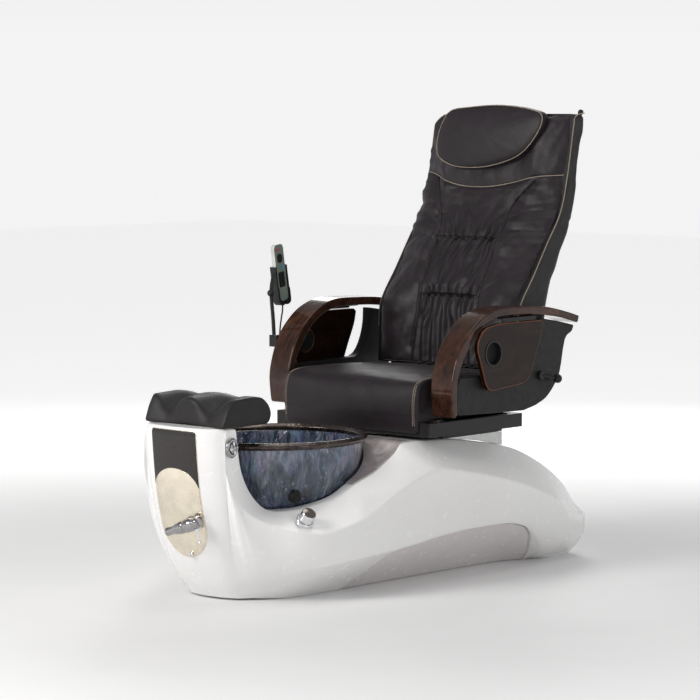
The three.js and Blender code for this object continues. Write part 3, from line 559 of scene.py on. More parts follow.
def dress(node, material, edge=None, sharp=38.0):
    """Keeps a CAD node and gives it a material, smooth shading and rounded edges."""
    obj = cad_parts[node]
    for index in range(max(1, len(obj.material_slots))):
        if obj.material_slots:
            obj.material_slots[index].material = material
        else:
            obj.data.materials.append(material)
    obj.data.shade_smooth()
    obj.data.set_sharp_from_angle(angle=math.radians(sharp))
    if edge:
        bevel(obj, edge, 2, 40.0)
    return obj


def fitting(name, body, node, profile, ease, foot, axis, material=CHROME, sides=40, steps=3):
    """A turned metal piece, for a node or beside one; its (radius, height) points and ease in mm."""
    line = [(r * MM, h * MM) for r, h in eased(profile, ease, steps)]
    obj = turned(name, line, foot, axis, material, sides)
    return place(obj, body, *([node] if node else []), slot="chrome")


def surface_tree(obj):
    """A tree of the mesh's faces, for casting rays at it."""
    mesh = obj.data
    return BVHTree.FromPolygons([v.co for v in mesh.vertices], [p.vertices[:] for p in mesh.polygons])


# ------------------------------------------------------------------ the handset's lead

LEAD = [
    (-430, 115.4, 840.6), (-430, 114.6, 833), (-429.6, 114, 822), (-429, 110, 808),
    (-428, 105.5, 792), (-427, 101, 775), (-426, 97.5, 757), (-425, 95, 738), (-424, 93.4, 718),
    (-423, 92.6, 698), (-422, 92.4, 678), (-420.6, 92.6, 659), (-418, 93, 641),
    (-413.6, 93.6, 625), (-407, 94.2, 613), (-400.5, 94.7, 606.6), (-396.6, 95, 604.6),
]
lead_line = spline(np.array(LEAD) * MM, 48)
lead = tube("handset_lead", lead_line, 2.6 * MM, RUBBER, 16)
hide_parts("remote_lead")
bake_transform(lead)


# ------------------------------------------------------------------ moulded base

# Foot, skirt crease, side crease, inner edge of the sloping band, and swell, in millimetres.
STATIONS = [
    ((0, -678, 6), (0, -712, 45), (0, -826, 524), (0, -818, 540), 34),
    ((45, -674, 6), (52, -706, 50), (87, -822, 524), (83, -814, 540), 33),
    ((80, -664, 6), (98, -698, 56), (144, -798, 524), (138, -790, 540), 30),
    ((103, -652, 6), (125, -685, 62), (169, -773, 524), (163, -765, 540), 25),
    ((118, -636, 6), (146, -670, 68), (173, -779, 500), (170, -727, 537), 24),
    ((133, -615, 6), (165, -658, 71), (174, -780, 430), (169, -716, 480), 24),
    ((143, -602, 5), (180, -648, 74), (177, -765, 385), (164, -700, 420), 24),
    ((152, -588, 4), (197, -634, 78), (184, -742, 335), (161, -674, 365), 22),
    ((162, -570, 3), (215, -617, 82), (200, -712, 287), (169, -640, 313), 18),
    ((173, -545, 1), (240, -596, 87), (226, -673, 256), (188, -610, 284), 12),
    ((183, -515, 0), (266, -574, 93), (258, -632, 237), (212, -580, 277), 9),
    ((191, -475, 0), (304, -532, 104), (306, -584, 220), (243, -525, 281), 8),
    ((196, -430, 0), (335, -486, 113), (345, -520, 216), (266, -458, 294), 8),
    ((198, -370, 0), (355, -420, 121), (370, -425, 234), (282, -400, 310), 7),
    ((199, -300, 0), (366, -340, 127), (380, -353, 256), (295, -335, 342), 6),
    ((199, -205, 0), (372, -215, 136), (385, -222, 318), (302, -250, 372), 6),
    ((199, -120, 0), (375, -120, 144), (389, -120, 354), (297, -152, 420), 6),
    ((199, -20, 0), (378, -15, 156), (390, -32, 371), (287, -90, 452), 6),
    ((199, 120, 0), (379, 120, 163), (390, 122, 346), (281, 100, 446), 6),
    ((200, 300, 0), (378, 300, 162), (390, 314, 303), (280, 300, 420), 6),
    ((205, 450, 0), (368, 430, 136), (385, 480, 251), (280, 450, 389), 8),
    ((232, 545, 0), (345, 525, 72), (375, 597, 204), (278, 605, 326), 18),
    ((262, 610, 0), (288, 606, 14), (360, 664, 166), (276, 715, 258), 40),
    ((277, 680, 0), (284, 680, 10), (335, 740, 148), (270, 775, 205), 36),
    ((264, 782, 0), (270, 786, 10), (300, 820, 138), (255, 808, 165), 20),
    ((185, 797, 0), (187, 801, 10), (200, 827, 134), (190, 819, 160), 16),
    ((0, 800, 0), (0, 804, 10), (0, 829, 134), (0, 821, 160), 16),
]
STEPS = 5
ACROSS = 8


def eased_rows(rows, steps):
    """Rows of numbers joined smoothly and without overshoot, steps to each span."""
    v = np.array(rows, float)
    d = np.diff(v, axis=0)
    slope = np.zeros_like(v)
    same = d[:-1] * d[1:] > 0
    total = np.where(same, d[:-1] + d[1:], 1.0)
    slope[1:-1] = np.where(same, 2 * d[:-1] * d[1:] / total, 0.0)
    slope[0, ::3], slope[-1, ::3] = d[0, ::3], d[-1, ::3]
    out = []
    for i in range(len(d)):
        for t in np.arange(steps) / steps:
            rise = 3 * t ** 2 - 2 * t ** 3
            bend = slope[i] * (t ** 3 - 2 * t ** 2 + t) + slope[i + 1] * (t ** 3 - t ** 2)
            out.append((1 - rise) * v[i] + rise * v[i + 1] + bend)
    out.append(v[-1])
    return np.array(out)


RAILS = eased_rows([[c for p in row[:4] for c in p] + [row[4]] for row in STATIONS], STEPS)


def station_line(index, inset):
    """One side's section from the foot to the inner edge, its corners rounded, in mm."""
    foot, skirt, crease, inner = RAILS[index][:12].reshape(4, 3).copy()
    before, after = RAILS[max(index - 1, 0)], RAILS[min(index + 1, len(RAILS) - 1)]
    along = (after[3:5] + after[6:8]) - (before[3:5] + before[6:8])
    out = np.array([along[1], -along[0], 0]) / max(np.hypot(*along), 1e-6)
    if index in (0, len(RAILS) - 1):
        out = np.array([0, math.copysign(1, skirt[1]), 0])
    side = [skirt + (crease - skirt) * t + out * RAILS[index][12] * 1.03 * math.sin(math.pi * t ** 0.8)
            for t in np.linspace(0, 1, 11)[1:-1]]
    corners = [foot, skirt, *side, crease, inner]
    radii = {1: 11.0, len(corners) - 2: 13.0, len(corners) - 1: 7.0}
    line = []
    for i, corner in enumerate(corners):
        if i not in radii:
            line.append(corner)
            continue
        ahead = corners[i + 1] - corner if i + 1 < len(corners) else np.array([-max(inner[0], 1e-6), 0, 0])
        back = corners[i - 1] - corner
        reach = min(radii[i], 0.45 * np.linalg.norm(ahead), 0.45 * np.linalg.norm(back))
        a = corner + back / max(np.linalg.norm(back), 1e-9) * reach
        c = corner + ahead / max(np.linalg.norm(ahead), 1e-9) * reach
        line += [(1 - t) ** 2 * a + 2 * t * (1 - t) * corner + t * t * c for t in np.linspace(0, 1, 5)]
    line = np.array(line)
    line[:, 0] = np.maximum(0, line[:, 0] - inset)
    return line


def crown(index):
    """How far the top bulges above the inner edges, in mm."""
    return 16.0 * max(0.0, min(1.0, (index / STEPS - 20.0) / 3.0)) * min(1.0, (26 - index / STEPS) / 2)


def hull(name, inset=0.0, material=WHITE):
    """The whole moulding as one solid, its skin set in by the inset in mm."""
    rings = []
    for index in range(len(RAILS)):
        left = station_line(index, inset)
        right = left * (-1, 1, 1)
        top = [left[-1] + (right[-1] - left[-1]) * t + np.array([0, 0, crown(index) * 4 * t * (1 - t)])
               for t in np.linspace(0, 1, ACROSS + 1)[1:-1]]
        floor = [right[0] + (left[0] - right[0]) * t for t in np.linspace(0, 1, 4)[1:-1]]
        rings.append(np.vstack([left, top, right[::-1], floor]) * MM)
    return lofted(name, rings, material, 30.0, False)


BASIN = {"y": -384, "a": 290, "b": 306, "rim": 478, "bottom": 205}


def basin_turned(name, profile, material, sides=128, sharp=38.0):
    """An elliptical lathe piece; profile points are (fraction of the basin, height in mm)."""
    foot = Vector((0, BASIN["y"], 0)) * MM
    points = [(f, z * MM) for f, z in profile]
    scale = (BASIN["a"] * MM, BASIN["b"] * MM)
    return turned(name, points, foot, Z, material, sides, scale, sharp)


low, high = BASIN["bottom"], BASIN["rim"]
hole = basin_turned("hole", [
    (0.0001, low - 12), (0.45, low - 8), (0.69, low + 28), (0.825, low + 76), (0.91, low + 140),
    (0.95, low + 205), (0.97, high - 18), (0.97, high + 90), (0.0001, high + 90),
], WHITE)
ARC = spline([
    (-300, -5), (-235, 128), (-215, 134), (-120, 144), (-15, 156), (120, 163), (300, 162),
    (380, 150), (430, 134), (472, 105), (503, 70), (540, 30), (570, -5),
], 60) * MM


def panel_outline(clearance):
    """The side opening's outline, drawn in by a clearance in metres."""
    out = []
    for y, z in ARC:
        away = np.array([y - 0.130, z - 0.040])
        step = away / np.linalg.norm(away) * clearance
        out.append((y - math.copysign(clearance * 3, away[0]), max(0.001, z - step[1])))
    return out


outer = hull("base_moulding")
front_face = BVHTree.FromObject(outer, bpy.context.evaluated_depsgraph_get())
side_cut = prism("side_cut", ARC, 0.150, 0.420, WHITE)
side_cut_right = prism("side_cut_right", ARC, -0.420, -0.150, WHITE)
slot_line = [(0.060, 0.300), (0.380, 0.300), (0.380, 0.520), (0.060, 0.520)]
slot_cut = prism("slot_cut", slot_line, -0.230, 0.230, WHITE)
boolean(outer, "DIFFERENCE", hole, side_cut, side_cut_right, slot_cut)
tidy(outer, True, 32.0)
place(outer, "base", "base_shell", slot="white_gelcoat")

for side in (1, -1):
    name = "left" if side > 0 else "right"
    skin = hull("side_panel_" + name, 4.0, PANEL)
    inside = hull("inside", 9.0)
    reach = (0.120, 0.430) if side > 0 else (-0.430, -0.120)
    shape = prism("shape", panel_outline(0.0016), *reach, WHITE)
    boolean(skin, "INTERSECT", shape)
    boolean(skin, "DIFFERENCE", inside)
    drop(inside, shape)
    tidy(skin, True, 32.0)
    place(skin, "base", "access_panel_" + name, slot="panel_gelcoat")


# ------------------------------------------------------------------ basin

bowl_outside = spline([(0.001, low), (0.42, low + 4), (0.66, low + 32), (0.8, low + 78), (0.885, low + 140),
                       (0.925, low + 205), (0.94, high - 16)], 36)
bowl_inside = spline([(0.916, high - 16), (0.901, low + 206), (0.861, low + 143), (0.776, low + 83),
                      (0.64, low + 39), (0.41, low + 12), (0.001, low + 7)], 36)
bowl = basin_turned("pearl_bowl", [tuple(p) for p in (*bowl_outside, *bowl_inside)], PEARL, 160, 50.0)
place(bowl, "base", "basin_bowl", slot="pearl_glass")

lip = 10.5
rim_profile = []
for k in range(25):
    angle = -math.pi / 2 + k / 24 * 2 * math.pi
    bulge = 1.0 + 0.10 * math.cos(4 * angle)
    rim_profile.append((0.955 + lip / BASIN["a"] * math.cos(angle) * bulge,
                        high - 15.4 + lip + lip * math.sin(angle) * bulge))
rim_profile[-1] = rim_profile[0]
rim = basin_turned("basin_lip", rim_profile, BRONZE, 200, 60.0)
place(rim, "base", "basin_rim", slot="bronze_rim")

deck_rings = []
deck_end = 17 * STEPS
behind = RAILS[deck_end] + (RAILS[deck_end + STEPS] - RAILS[deck_end]) * 0.16
for row in [*RAILS[14 * STEPS:deck_end + 1], behind]:
    x, y, z = row[9] - 3, row[10], row[11]
    top = [(x * (1 - 2 * t), y, z + 4.0) for t in np.linspace(0, 1, 13)]
    deck_rings.append(np.array([(x, y, z + 0.6), *top, (-x, y, z + 0.6)]) * MM)
deck = lofted("pearl_deck_skin", deck_rings, PEARL_DECK, 30.0)
boolean(deck, "DIFFERENCE", hole)
tidy(deck, True, 30.0)
place(deck, "base", "basin_apron", slot="pearl_deck")

fitting("drain_grate", "base", "drain_fitting", [
    (19, -100), (19, -14), (22, -12), (22, 4.4), (36, 5.4), (34, 9), (0.1, 10),
], 1.5, (0, BASIN["y"] * MM, (low + 8) * MM), Z, CHROME, 40)
drop(hole, side_cut, side_cut_right, slot_cut)


# ------------------------------------------------------------------ front of the column

def face_depth(x, z):
    """Where the column's front stands at a place across and up, in metres."""
    hit = front_face.ray_cast(Vector((x, -2.0, z)), Y)[0]
    return hit.y if hit else face_depth(x * 0.98, z)


def face_sheet(name, columns, stand_off, thick, material, rows=44, edge=0.0006):
    """A thin sheet on the column's front. columns holds (x, lowest z, highest z)."""
    rings = []
    for x, z0, z1 in columns:
        heights = np.linspace(z0, z1, rows)
        depth = [face_depth(x, z) - stand_off for z in heights]
        back = [(x, y, z) for y, z in zip(depth, heights)]
        front = [(x, y - thick, z) for y, z in zip(depth, heights)]
        rings.append(back + front[::-1])
    obj = lofted(name, rings, material, 35.0)
    return bevel(obj, edge, 2)


def plate_bounds(x, grow=0.0):
    """Lowest and highest point of the light plate at a place across it."""
    half, arch_top, arch_foot, taper, foot = 0.092, 0.414, 0.350, 0.235, 0.138
    c = math.sqrt(max(0.0, 1 - (x / (half + grow)) ** 2))
    return taper - (taper - foot + grow) * c, arch_foot + (arch_top + grow - arch_foot) * c


across = 0.0919 * np.sin(np.linspace(-math.pi / 2, math.pi / 2, 49))
plate = face_sheet("mirror_plate", [(x, *plate_bounds(x)) for x in across], 0.001, 0.003, CREAM)
place(plate, "base", "front_plate", slot="champagne_mirror")
panel = face_sheet("fascia_panel", [(x, plate_bounds(x, 0.001)[1], 0.530) for x in across],
                   0.001, 0.003, FASCIA, 30)
place(panel, "base", "front_panel", slot="black_gloss")
trim = face_sheet("fascia_trim", [(x, plate_bounds(x * 0.978)[0] - 0.0012, 0.5315) for x in across * 1.02],
                  0.0002, 0.0014, CREAM, 60)
place(trim, "base", slot="champagne_mirror")


# ------------------------------------------------------------------ taps and knobs

MIXER = Matrix.Translation((0.046, -0.80089, 0.240)) @ Matrix.Rotation(-0.3, 4, "Y")


def on_mixer(x, y, z):
    """A place given in the mixer's own tilted frame."""
    return MIXER @ Vector((x, y, z))


def barrel(name, profile, material, squash=1.0):
    """A turned piece along the mixer's barrel; profile points are (radius, place) in mm."""
    turn = Z.rotation_difference(MIXER.to_3x3() @ X)
    middle = on_mixer(0, -0.024, 0)
    rings = []
    for r, h in profile:
        rings.append([middle + turn @ Vector((r * math.cos(a), 0, h)) * MM
                      + Vector((0, r * math.sin(a) * squash, 0)) * MM for a in circle(40)])
    return lofted(name, rings, material, 38.0)


mixer = barrel("mixer_barrel", eased([
    (0.01, 2), (15, 2), (20.5, 10), (21, 33), (17.5, 40), (17, 46), (14.5, 47), (14.5, 50), (17, 51),
    (17, 61), (14, 66), (0.01, 66),
], 1.6), SHADED_CHROME)
place(mixer, "base", "mixer_body", slot="chrome")
fitting("mixer_stand", "base", None, [
    (0.1, -4), (23, -4), (23, 1), (18, 6), (10, 10), (10, 24), (0.1, 24),
], 2, on_mixer(0.026, 0, 0), -Y, CHROME, 36)
head = barrel("spray_wedge", eased([
    (0.01, -78), (11.5, -78), (13.5, -75), (12.5, -60), (13.5, -44), (17, -30), (19.5, -10), (18, -1),
    (15, 1.6), (0.01, 1.6),
], 2.5, 4), SHADED_CHROME, 0.82)
place(head, "spray_head", "spray_head", slot="chrome")
fitting("mixer_pin", "mixer_lever", "mixer_lever", [
    (0.1, 17.8), (4.5, 17.8), (3.4, 24), (2.7, 56), (4, 60), (4, 64), (3, 66), (0.1, 66),
], 0.7, on_mixer(0.051, -0.024, 0), MIXER.to_3x3() @ -Z, CHROME, 20)
key_low, key_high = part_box("plate_key")
key_foot = ((key_low.x + key_high.x) / 2, key_high.y, (key_low.z + key_high.z) / 2)
fitting("plate_stud", "plate_key", "plate_key", [
    (0.1, 0), (8, 0), (8, 3.2), (4.2, 4.5), (4, 11.4), (0.1, 11.4),
], 0.8, key_foot, -Y, CHROME, 28)

DIVERTER_FOOT = Vector((0.1758, -0.752, 0.483))
DIVERTER_AXIS = Vector((0.986, 0.166, 0)).normalized()
fitting("diverter_ring", "base", "diverter_bezel", [
    (16.6, 0.2), (30, 0.2), (30, 3), (26.5, 6), (20.5, 6.2), (18.5, 3), (16.6, 3), (16.6, 0.2),
], 0.8, DIVERTER_FOOT, DIVERTER_AXIS, SHADED_CHROME, 56)
fitting("diverter_hub", "diverter_knob", "diverter_knob", [
    (0.1, 1), (15.5, 1), (15.5, 7), (12, 9.5), (8.5, 13), (5.5, 15.5), (0.1, 16),
], 1.2, DIVERTER_FOOT, DIVERTER_AXIS, SHADED_CHROME, 40)
turn = Z.rotation_difference(DIVERTER_AXIS)
for k in range(4):
    angle = k * math.pi / 2 + 0.35
    way = Vector((math.cos(angle), math.sin(angle), 0))
    spoke_line = [DIVERTER_FOOT + turn @ (way * r + Z * 0.0105) for r in (0.004, 0.012, 0.0185, 0.0197)]
    spoke_radii = [0.0032, 0.0036, 0.0040, 0.0028]
    spoke = tube(f"diverter_spoke_{k}", spoke_line, spoke_radii, CHROME, 16, DIVERTER_AXIS)
    place(spoke, "diverter_knob", slot="chrome")

KNOB_FOOT = Vector((0.289, -0.552, 0.252))
KNOB_AXIS = Vector((0.68, -0.15, 0.72)).normalized()
fitting("drain_bezel", "base", "drain_knob_bezel", [
    (20.2, 2), (27.2, -6), (27.2, 5), (25, 7), (20.2, 7), (20.2, 2),
], 0.9, KNOB_FOOT, KNOB_AXIS, CHROME, 56)
fitting("drain_bullet", "drain_knob", "drain_knob", [
    (0.1, 7.6), (21.5, 7.6), (23, 10), (23, 29), (22.8, 35.5), (20.8, 38.2), (0.1, 38.4),
], 1.2, KNOB_FOOT, KNOB_AXIS, CHROME, 56, 4)
fitting("drain_knob_face", "drain_knob", None, [
    (0.1, 38.3), (20.4, 38.3), (20, 38.8), (0.1, 39.7),
], 0.3, KNOB_FOOT, KNOB_AXIS, BRONZE_MIRROR, 56)
dress("jet_housing", BLACK, 0.001)


# ------------------------------------------------------------------ footrest

PAD_HALF = 170.0


def resampled(line, count):
    """A line with its points set evenly along it."""
    line = np.array(line, float)
    steps = np.concatenate([[0], np.cumsum(np.linalg.norm(np.diff(line, axis=0), axis=1))])
    at = np.linspace(0, steps[-1], count)
    return np.column_stack([np.interp(at, steps, line[:, k]) for k in range(line.shape[1])])


def pad_section(x):
    """The footrest's outline in the Y-Z plane at a place across it, in mm."""
    u = abs(x) / PAD_HALF
    channel = math.exp(-((u - 0.5) / 0.25) ** 2)
    front = -766 - 17 * u
    lean = 5 + (66 if x > 0 else 42) * max(0.0, u - 0.12) ** 1.7 + 12 * channel
    lip = 627 - 45 * channel
    crest = 633 - 9 * channel - 12 * max(0.0, u - 0.7)
    top_front = front + lean
    scoop = [(top_front + (-640 - top_front) * t, lip + (crest - lip) * (t * t * (3 - 2 * t)))
             for t in np.linspace(0.18, 1, 7)]
    line = [(front + 9, 541), (front, 544), (front + lean * 0.45, 549 + (lip - 549) * 0.55),
            (top_front, lip - 1), *scoop, (-606, crest - 5), (-578, crest - 30), (-567, 572), (-576, 548),
            (-590, 541)]
    return resampled(eased(line, 15, 5), 54)


pad_places = [-170, -170, -168.5, -165, *np.linspace(-160, 160, 49), 165, 168.5, 170, 170]
rings = []
for index, x in enumerate(pad_places):
    shrink = {0: 0.6, 1: 0.91, 2: 0.962, 3: 0.988}.get(min(index, len(pad_places) - 1 - index), 1.0)
    section = pad_section(x)
    middle = section.mean(axis=0)
    section = middle + (section - middle) * shrink
    rings.append([(x * MM, y * MM, z * MM) for y, z in section])
rest_pad = lofted("footrest_cushion", rings, PAD, 60.0)
place(rest_pad, "base", "footrest_pad", slot="leather")
bracket_line = [(-0.128, -0.768), (0.128, -0.768), (0.150, -0.742), (0.150, -0.640), (-0.150, -0.640),
                (-0.150, -0.742)]
bracket = prism("footrest_plate", bracket_line, 0.5402, 0.5412, ZINC, "Z")
place(bracket, "base", "footrest_bracket", slot="zinc")


# ------------------------------------------------------------------ seat box, arms, boards and trays

for node in ("seat_frame", "seat_carriage", "recline_actuator", "tray_hinge_left", "tray_hinge_right",
             "recline_lever", "massage_carriage", "control_box", "drain_pump", "remote_bracket"):
    dress(node, BLACK, 0.0012)
for node in ("slide_rail_left", "slide_rail_right", "recline_shaft", "massage_screw", "floor_pan",
             "basin_pedestal"):
    dress(node, ZINC, 0.0012)
for corner in ("front_left", "front_right", "rear_left", "rear_right"):
    dress("levelling_foot_" + corner, RUBBER, 0.001)

arm_outer = spline([(18, 546), (12, 611), (22, 665), (52, 737), (92, 786), (152, 831), (234, 859), (359, 862),
                    (491, 854), (599, 833), (664, 816)], 64)
arm_inner = spline([(657, 793), (572, 814), (465, 829), (350, 834), (239, 830), (178, 810), (132, 780),
                    (92, 734), (62, 691), (43, 641), (38, 576), (42, 538)], 64)
arm_line = np.vstack([arm_outer, arm_inner, [(30, 524), (21, 530)]]) * MM
board_line = np.array([
    (44, 540), (70, 531), (214, 526), (386, 523),
    *spline([(447, 535), (503, 557), (551, 601), (573, 636), (604, 748), (637, 767), (646, 786)], 20),
    (560, 804), (468, 818), *spline([(468, 806), (465, 765), (447, 708), (418, 668), (390, 655)], 12),
    (200, 652), (62, 650), (46, 620),
]) * MM
tray_line = np.array([
    *spline([(163, 805), (224, 814), (330, 815), (437, 815)], 10), (449, 805),
    *spline([(446, 790), (439, 763), (410, 700), (376, 631), (350, 616)], 14),
    *spline([(340, 614), (265, 608), (190, 602), (172, 608), (159, 623)], 12),
    *spline([(150, 645), (130, 700), (117, 736), (122, 765), (140, 792)], 12),
]) * MM
CUP_Y, CUP_Z, CUP_RADIUS = 0.195, 0.721, 0.039
TRAY_EDGE = plastic("tray_edge", (0.11, 0.034, 0.013), 0.3)


def span(side, near, far):
    """The lowest and highest place across the chair of a piece on one side of it."""
    return (near, far) if side > 0 else (-far, -near)


for side in (1, -1):
    name = "left" if side > 0 else "right"
    arm = prism("arm_" + name, arm_line, *span(side, 0.307, 0.397), WOOD)
    bevel(arm, 0.007, 5, 40.0)
    place(arm, "seat", "armrest_" + name, slot="lacquered_wood")
    board = prism("board_" + name, board_line, *span(side, 0.352, 0.388), BOARD)
    bevel(board, 0.004, 3, 40.0)
    place(board, "seat", "side_board_" + name, slot="board_black")
    cup_hole = ring_points(CUP_Y, CUP_Z, CUP_RADIUS, 64)
    tray = prism("tray_board_" + name, tray_line, *span(side, 0.398, 0.415), SHADED_TRAY_WOOD, holes=[cup_hole])
    tray.data.materials.append(TRAY_EDGE)
    bevel(tray, 0.0028, 2, 40.0)
    tray.modifiers["bevel"].material = 1
    place(tray, "tray_" + name, "tray_" + name, slot="lacquered_wood")
    wall, cup_axis = CUP_RADIUS - 0.0003, X * side
    liner_line = eased([(wall, 0.0), (wall, 0.0176), (wall + 0.0038, 0.0182), (wall + 0.0033, 0.0196),
                        (wall - 0.0027, 0.019), (wall - 0.0027, 0.0), (wall, 0.0)], 0.0006)
    liner = turned("cup_liner_" + name, liner_line, (side * 0.3978, CUP_Y, CUP_Z), cup_axis, BLACK, 56)
    place(liner, "tray_" + name, slot="black_plastic")
    # Painted shade: a near-black disc at the foot of the cup hole stands for the shade inside it.
    floor_radius = CUP_RADIUS - 0.0005
    well_line = [(0.0001, 0.0), (floor_radius, 0.0), (floor_radius, 0.0012), (0.0001, 0.0012)]
    shade_disc = turned("cup_shade_disc_" + name, well_line, (side * 0.3982, CUP_Y, CUP_Z), cup_axis, CUP_SHADE, 48)
    place(shade_disc, "tray_" + name, slot="black_plastic")


# ------------------------------------------------------------------ handset and its holder

for node, material, edge in (
        ("remote_body", SILVER, 0.0035), ("remote_pole", BLACK, None), ("remote_cradle", BLACK, 0.0012),
        ("remote_gland", RUBBER, None), ("lead_grommet", RUBBER, 0.0005), ("power_key", RED, 0.0006),
        ("nav_pad", RUBBER, 0.0008), ("heat_key", BLUE, 0.0006), ("function_keys", RUBBER, 0.0004)):
    dress(node, material, edge, 50.0)
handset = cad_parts["remote_body"]
handset.data.materials.append(KEYFACE)
handset_turn = handset.matrix_world.to_3x3()
for polygon in handset.data.polygons:
    if (handset_turn @ polygon.normal).x > 0.9:
        polygon.material_index = len(handset.data.materials) - 1


# ------------------------------------------------------------------ leather cushions

def coordinates(obj):
    """The places of an object's vertices, in metres."""
    out = np.empty(len(obj.data.vertices) * 3)
    obj.data.vertices.foreach_get("co", out)
    return out.reshape(-1, 3)


def normals(obj):
    """The outward directions of an object's vertices."""
    out = np.empty(len(obj.data.vertices) * 3)
    obj.data.vertices.foreach_get("normal", out)
    return out.reshape(-1, 3)


def reshape(obj, points):
    """Moves an object's vertices to new places."""
    obj.data.vertices.foreach_set("co", np.ascontiguousarray(points).ravel())
    obj.data.update()


def swollen(obj, held, cap=0.024, voxel=0.008, calm=None, pressure=4.0, frames=20):
    """Fills a closed cover: cloth under pressure, no point moving further than the cap."""
    remesh = obj.modifiers.new("remesh", "REMESH")
    remesh.mode = "VOXEL"
    remesh.voxel_size = voxel
    remesh.use_smooth_shade = True
    applied(obj)
    rest = coordinates(obj)
    fixed = held(rest)
    group = obj.vertex_groups.new(name="held")
    group.add([int(i) for i in np.nonzero(fixed)[0]], 1.0, "REPLACE")
    cloth = obj.modifiers.new("cloth", "CLOTH")
    settings = cloth.settings
    settings.quality = 4
    settings.mass = 0.35
    settings.tension_stiffness = 22
    settings.compression_stiffness = 22
    settings.shear_stiffness = 12
    settings.bending_stiffness = 1.2
    settings.use_pressure = True
    settings.uniform_pressure_force = pressure
    settings.vertex_group_mass = "held"
    settings.effector_weights.gravity = 0
    cloth.collision_settings.use_collision = False
    cloth.point_cache.frame_end = frames
    for step in range(1, frames + 1):
        scene.frame_set(step)
    applied(obj)
    scene.frame_set(1)
    moved = coordinates(obj) - rest
    length = np.linalg.norm(moved, axis=1, keepdims=True)
    obj.vertex_groups.clear()
    reshape(obj, rest + moved * np.minimum(1, cap / np.maximum(length, 1e-9)))
    smoothing = obj.modifiers.new("smooth", "SMOOTH")
    smoothing.factor = 0.5
    smoothing.iterations = 3
    applied(obj)
    if calm:
        group = obj.vertex_groups.new(name="calm")
        group.add([int(i) for i in np.nonzero(calm(coordinates(obj)))[0]], 1.0, "REPLACE")
        smoothing = obj.modifiers.new("calm", "SMOOTH")
        smoothing.factor = 0.6
        smoothing.iterations = 22
        smoothing.vertex_group = "calm"
        applied(obj)
        obj.vertex_groups.clear()
    subdivide(obj)
    applied(obj)
    obj.data.shade_smooth()
    return obj


def distance_to_line(points, line):
    """Distance of each 2-D point to a polyline."""
    best = np.full(len(points), 1e9)
    for a, b in zip(line[:-1], line[1:]):
        span = b - a
        t = np.clip(((points - a) @ span) / max(span @ span, 1e-12), 0, 1)
        best = np.minimum(best, np.linalg.norm(points - (a + t[:, None] * span), axis=1))
    return best


def wave(points, scale, seed):
    """Smooth noise between about -1 and 1 at each point."""
    offset = Vector((seed * 7.31, seed * 3.17, seed * 5.77))
    turn = Matrix.Rotation(0.7, 3, Vector((1, 0.6, 0.3)).normalized())
    turned_points = np.array(points) @ np.array(turn)
    coarse = np.array([noise.noise(Vector(p) * scale + offset) for p in turned_points])
    finer = np.array([noise.noise(Vector(p) * scale * 2.17 - offset) for p in turned_points])
    return (coarse + 0.45 * finer) * 1.5


FRONT = [(446, 640), (448, 690), (452, 770), (459, 840), (539, 956), (601, 1047), (675, 1154), (712, 1278),
         (742, 1434), (752, 1476)]
front_curve = spline(FRONT, 90)


def seam_depth(z):
    """Depth in Y of the back's front edge seam at a height, in mm."""
    return np.interp(z, front_curve[:, 1], front_curve[:, 0])


BACK_HALF = 298.0
# How far the sitter's right edge of the back swells out at a height, in mm.
LEFT_PUFF = np.array([(640, 0), (830, 1), (932, 9), (1060, 12), (1189, 20), (1278, 25), (1373, 23),
                      (1415, 14), (1445, -2), (1462, -18), (1476, -42)], float)


def back_form():
    """The back cushion before it is filled: rings across, from its foot to its top."""
    rings = []
    heights = [*np.linspace(645, 1440, 40), 1456, 1467, 1473]
    for z in heights:
        y = float(seam_depth(z))
        slope = float(seam_depth(z + 6) - seam_depth(z - 6)) / 12
        normal = np.array([-1.0, slope]) / math.hypot(1, slope)
        close = max(0.0, (z - 1440) / 33)
        half = BACK_HALF - 5
        puff = float(np.interp(z, LEFT_PUFF[:, 0], LEFT_PUFF[:, 1]))
        ring = []
        for u in np.linspace(-1, 1, 31):
            bolster = 15 + 9 * math.exp(-((abs(u) - 0.72) / 0.17) ** 2)
            lift = bolster * (1 - abs(u) ** 9) * (1 - close ** 3)
            side_lift = -max(0.0, -u) ** 3 * puff + max(0.0, u) ** 3 * max(0.0, puff) * 0.35
            ring.append((u * half + side_lift, y + normal[0] * lift, z + normal[1] * lift))
        for u in np.linspace(1, -1, 31):
            side_lift = max(0.0, -u) ** 3 * min(puff, 0.0)
            ring.append((u * half - side_lift, y + 15, z - 2))
        rings.append([Vector(p) * MM for p in ring])
    return lofted("back_cushion", rings, LEATHER, 60.0)


def back_held(p):
    """Where the back's cover is fixed: behind its edge seam and along its foot."""
    return (p[:, 1] * 1000 > seam_depth(p[:, 2] * 1000) + 8) | (p[:, 2] < 0.668)


back = back_form()
swollen(back, back_held, 0.017, 0.008, lambda p: np.abs(p[:, 0]) > 0.272)

# Seams on the front of the back, as (x, z) in mm; left and right as the camera sees them.
SEAMS = {
    "right": [(193, 1257), (146, 1210), (116, 1169), (113, 1108), (112, 1064), (125, 960), (130, 866),
              (136, 780), (146, 700)],
    "left": [(-244, 1264), (-216, 1223), (-200, 1192), (-165, 1126), (-147, 1071), (-134, 980), (-122, 880),
             (-125, 789), (-140, 700)],
}
YOKE = [(-298, 1277), (-260, 1272), (-171, 1245), (-106, 1233), (1, 1233), (96, 1247), (189, 1268),
        (298, 1276)]
RUCHES = [1067.0, 878.0]


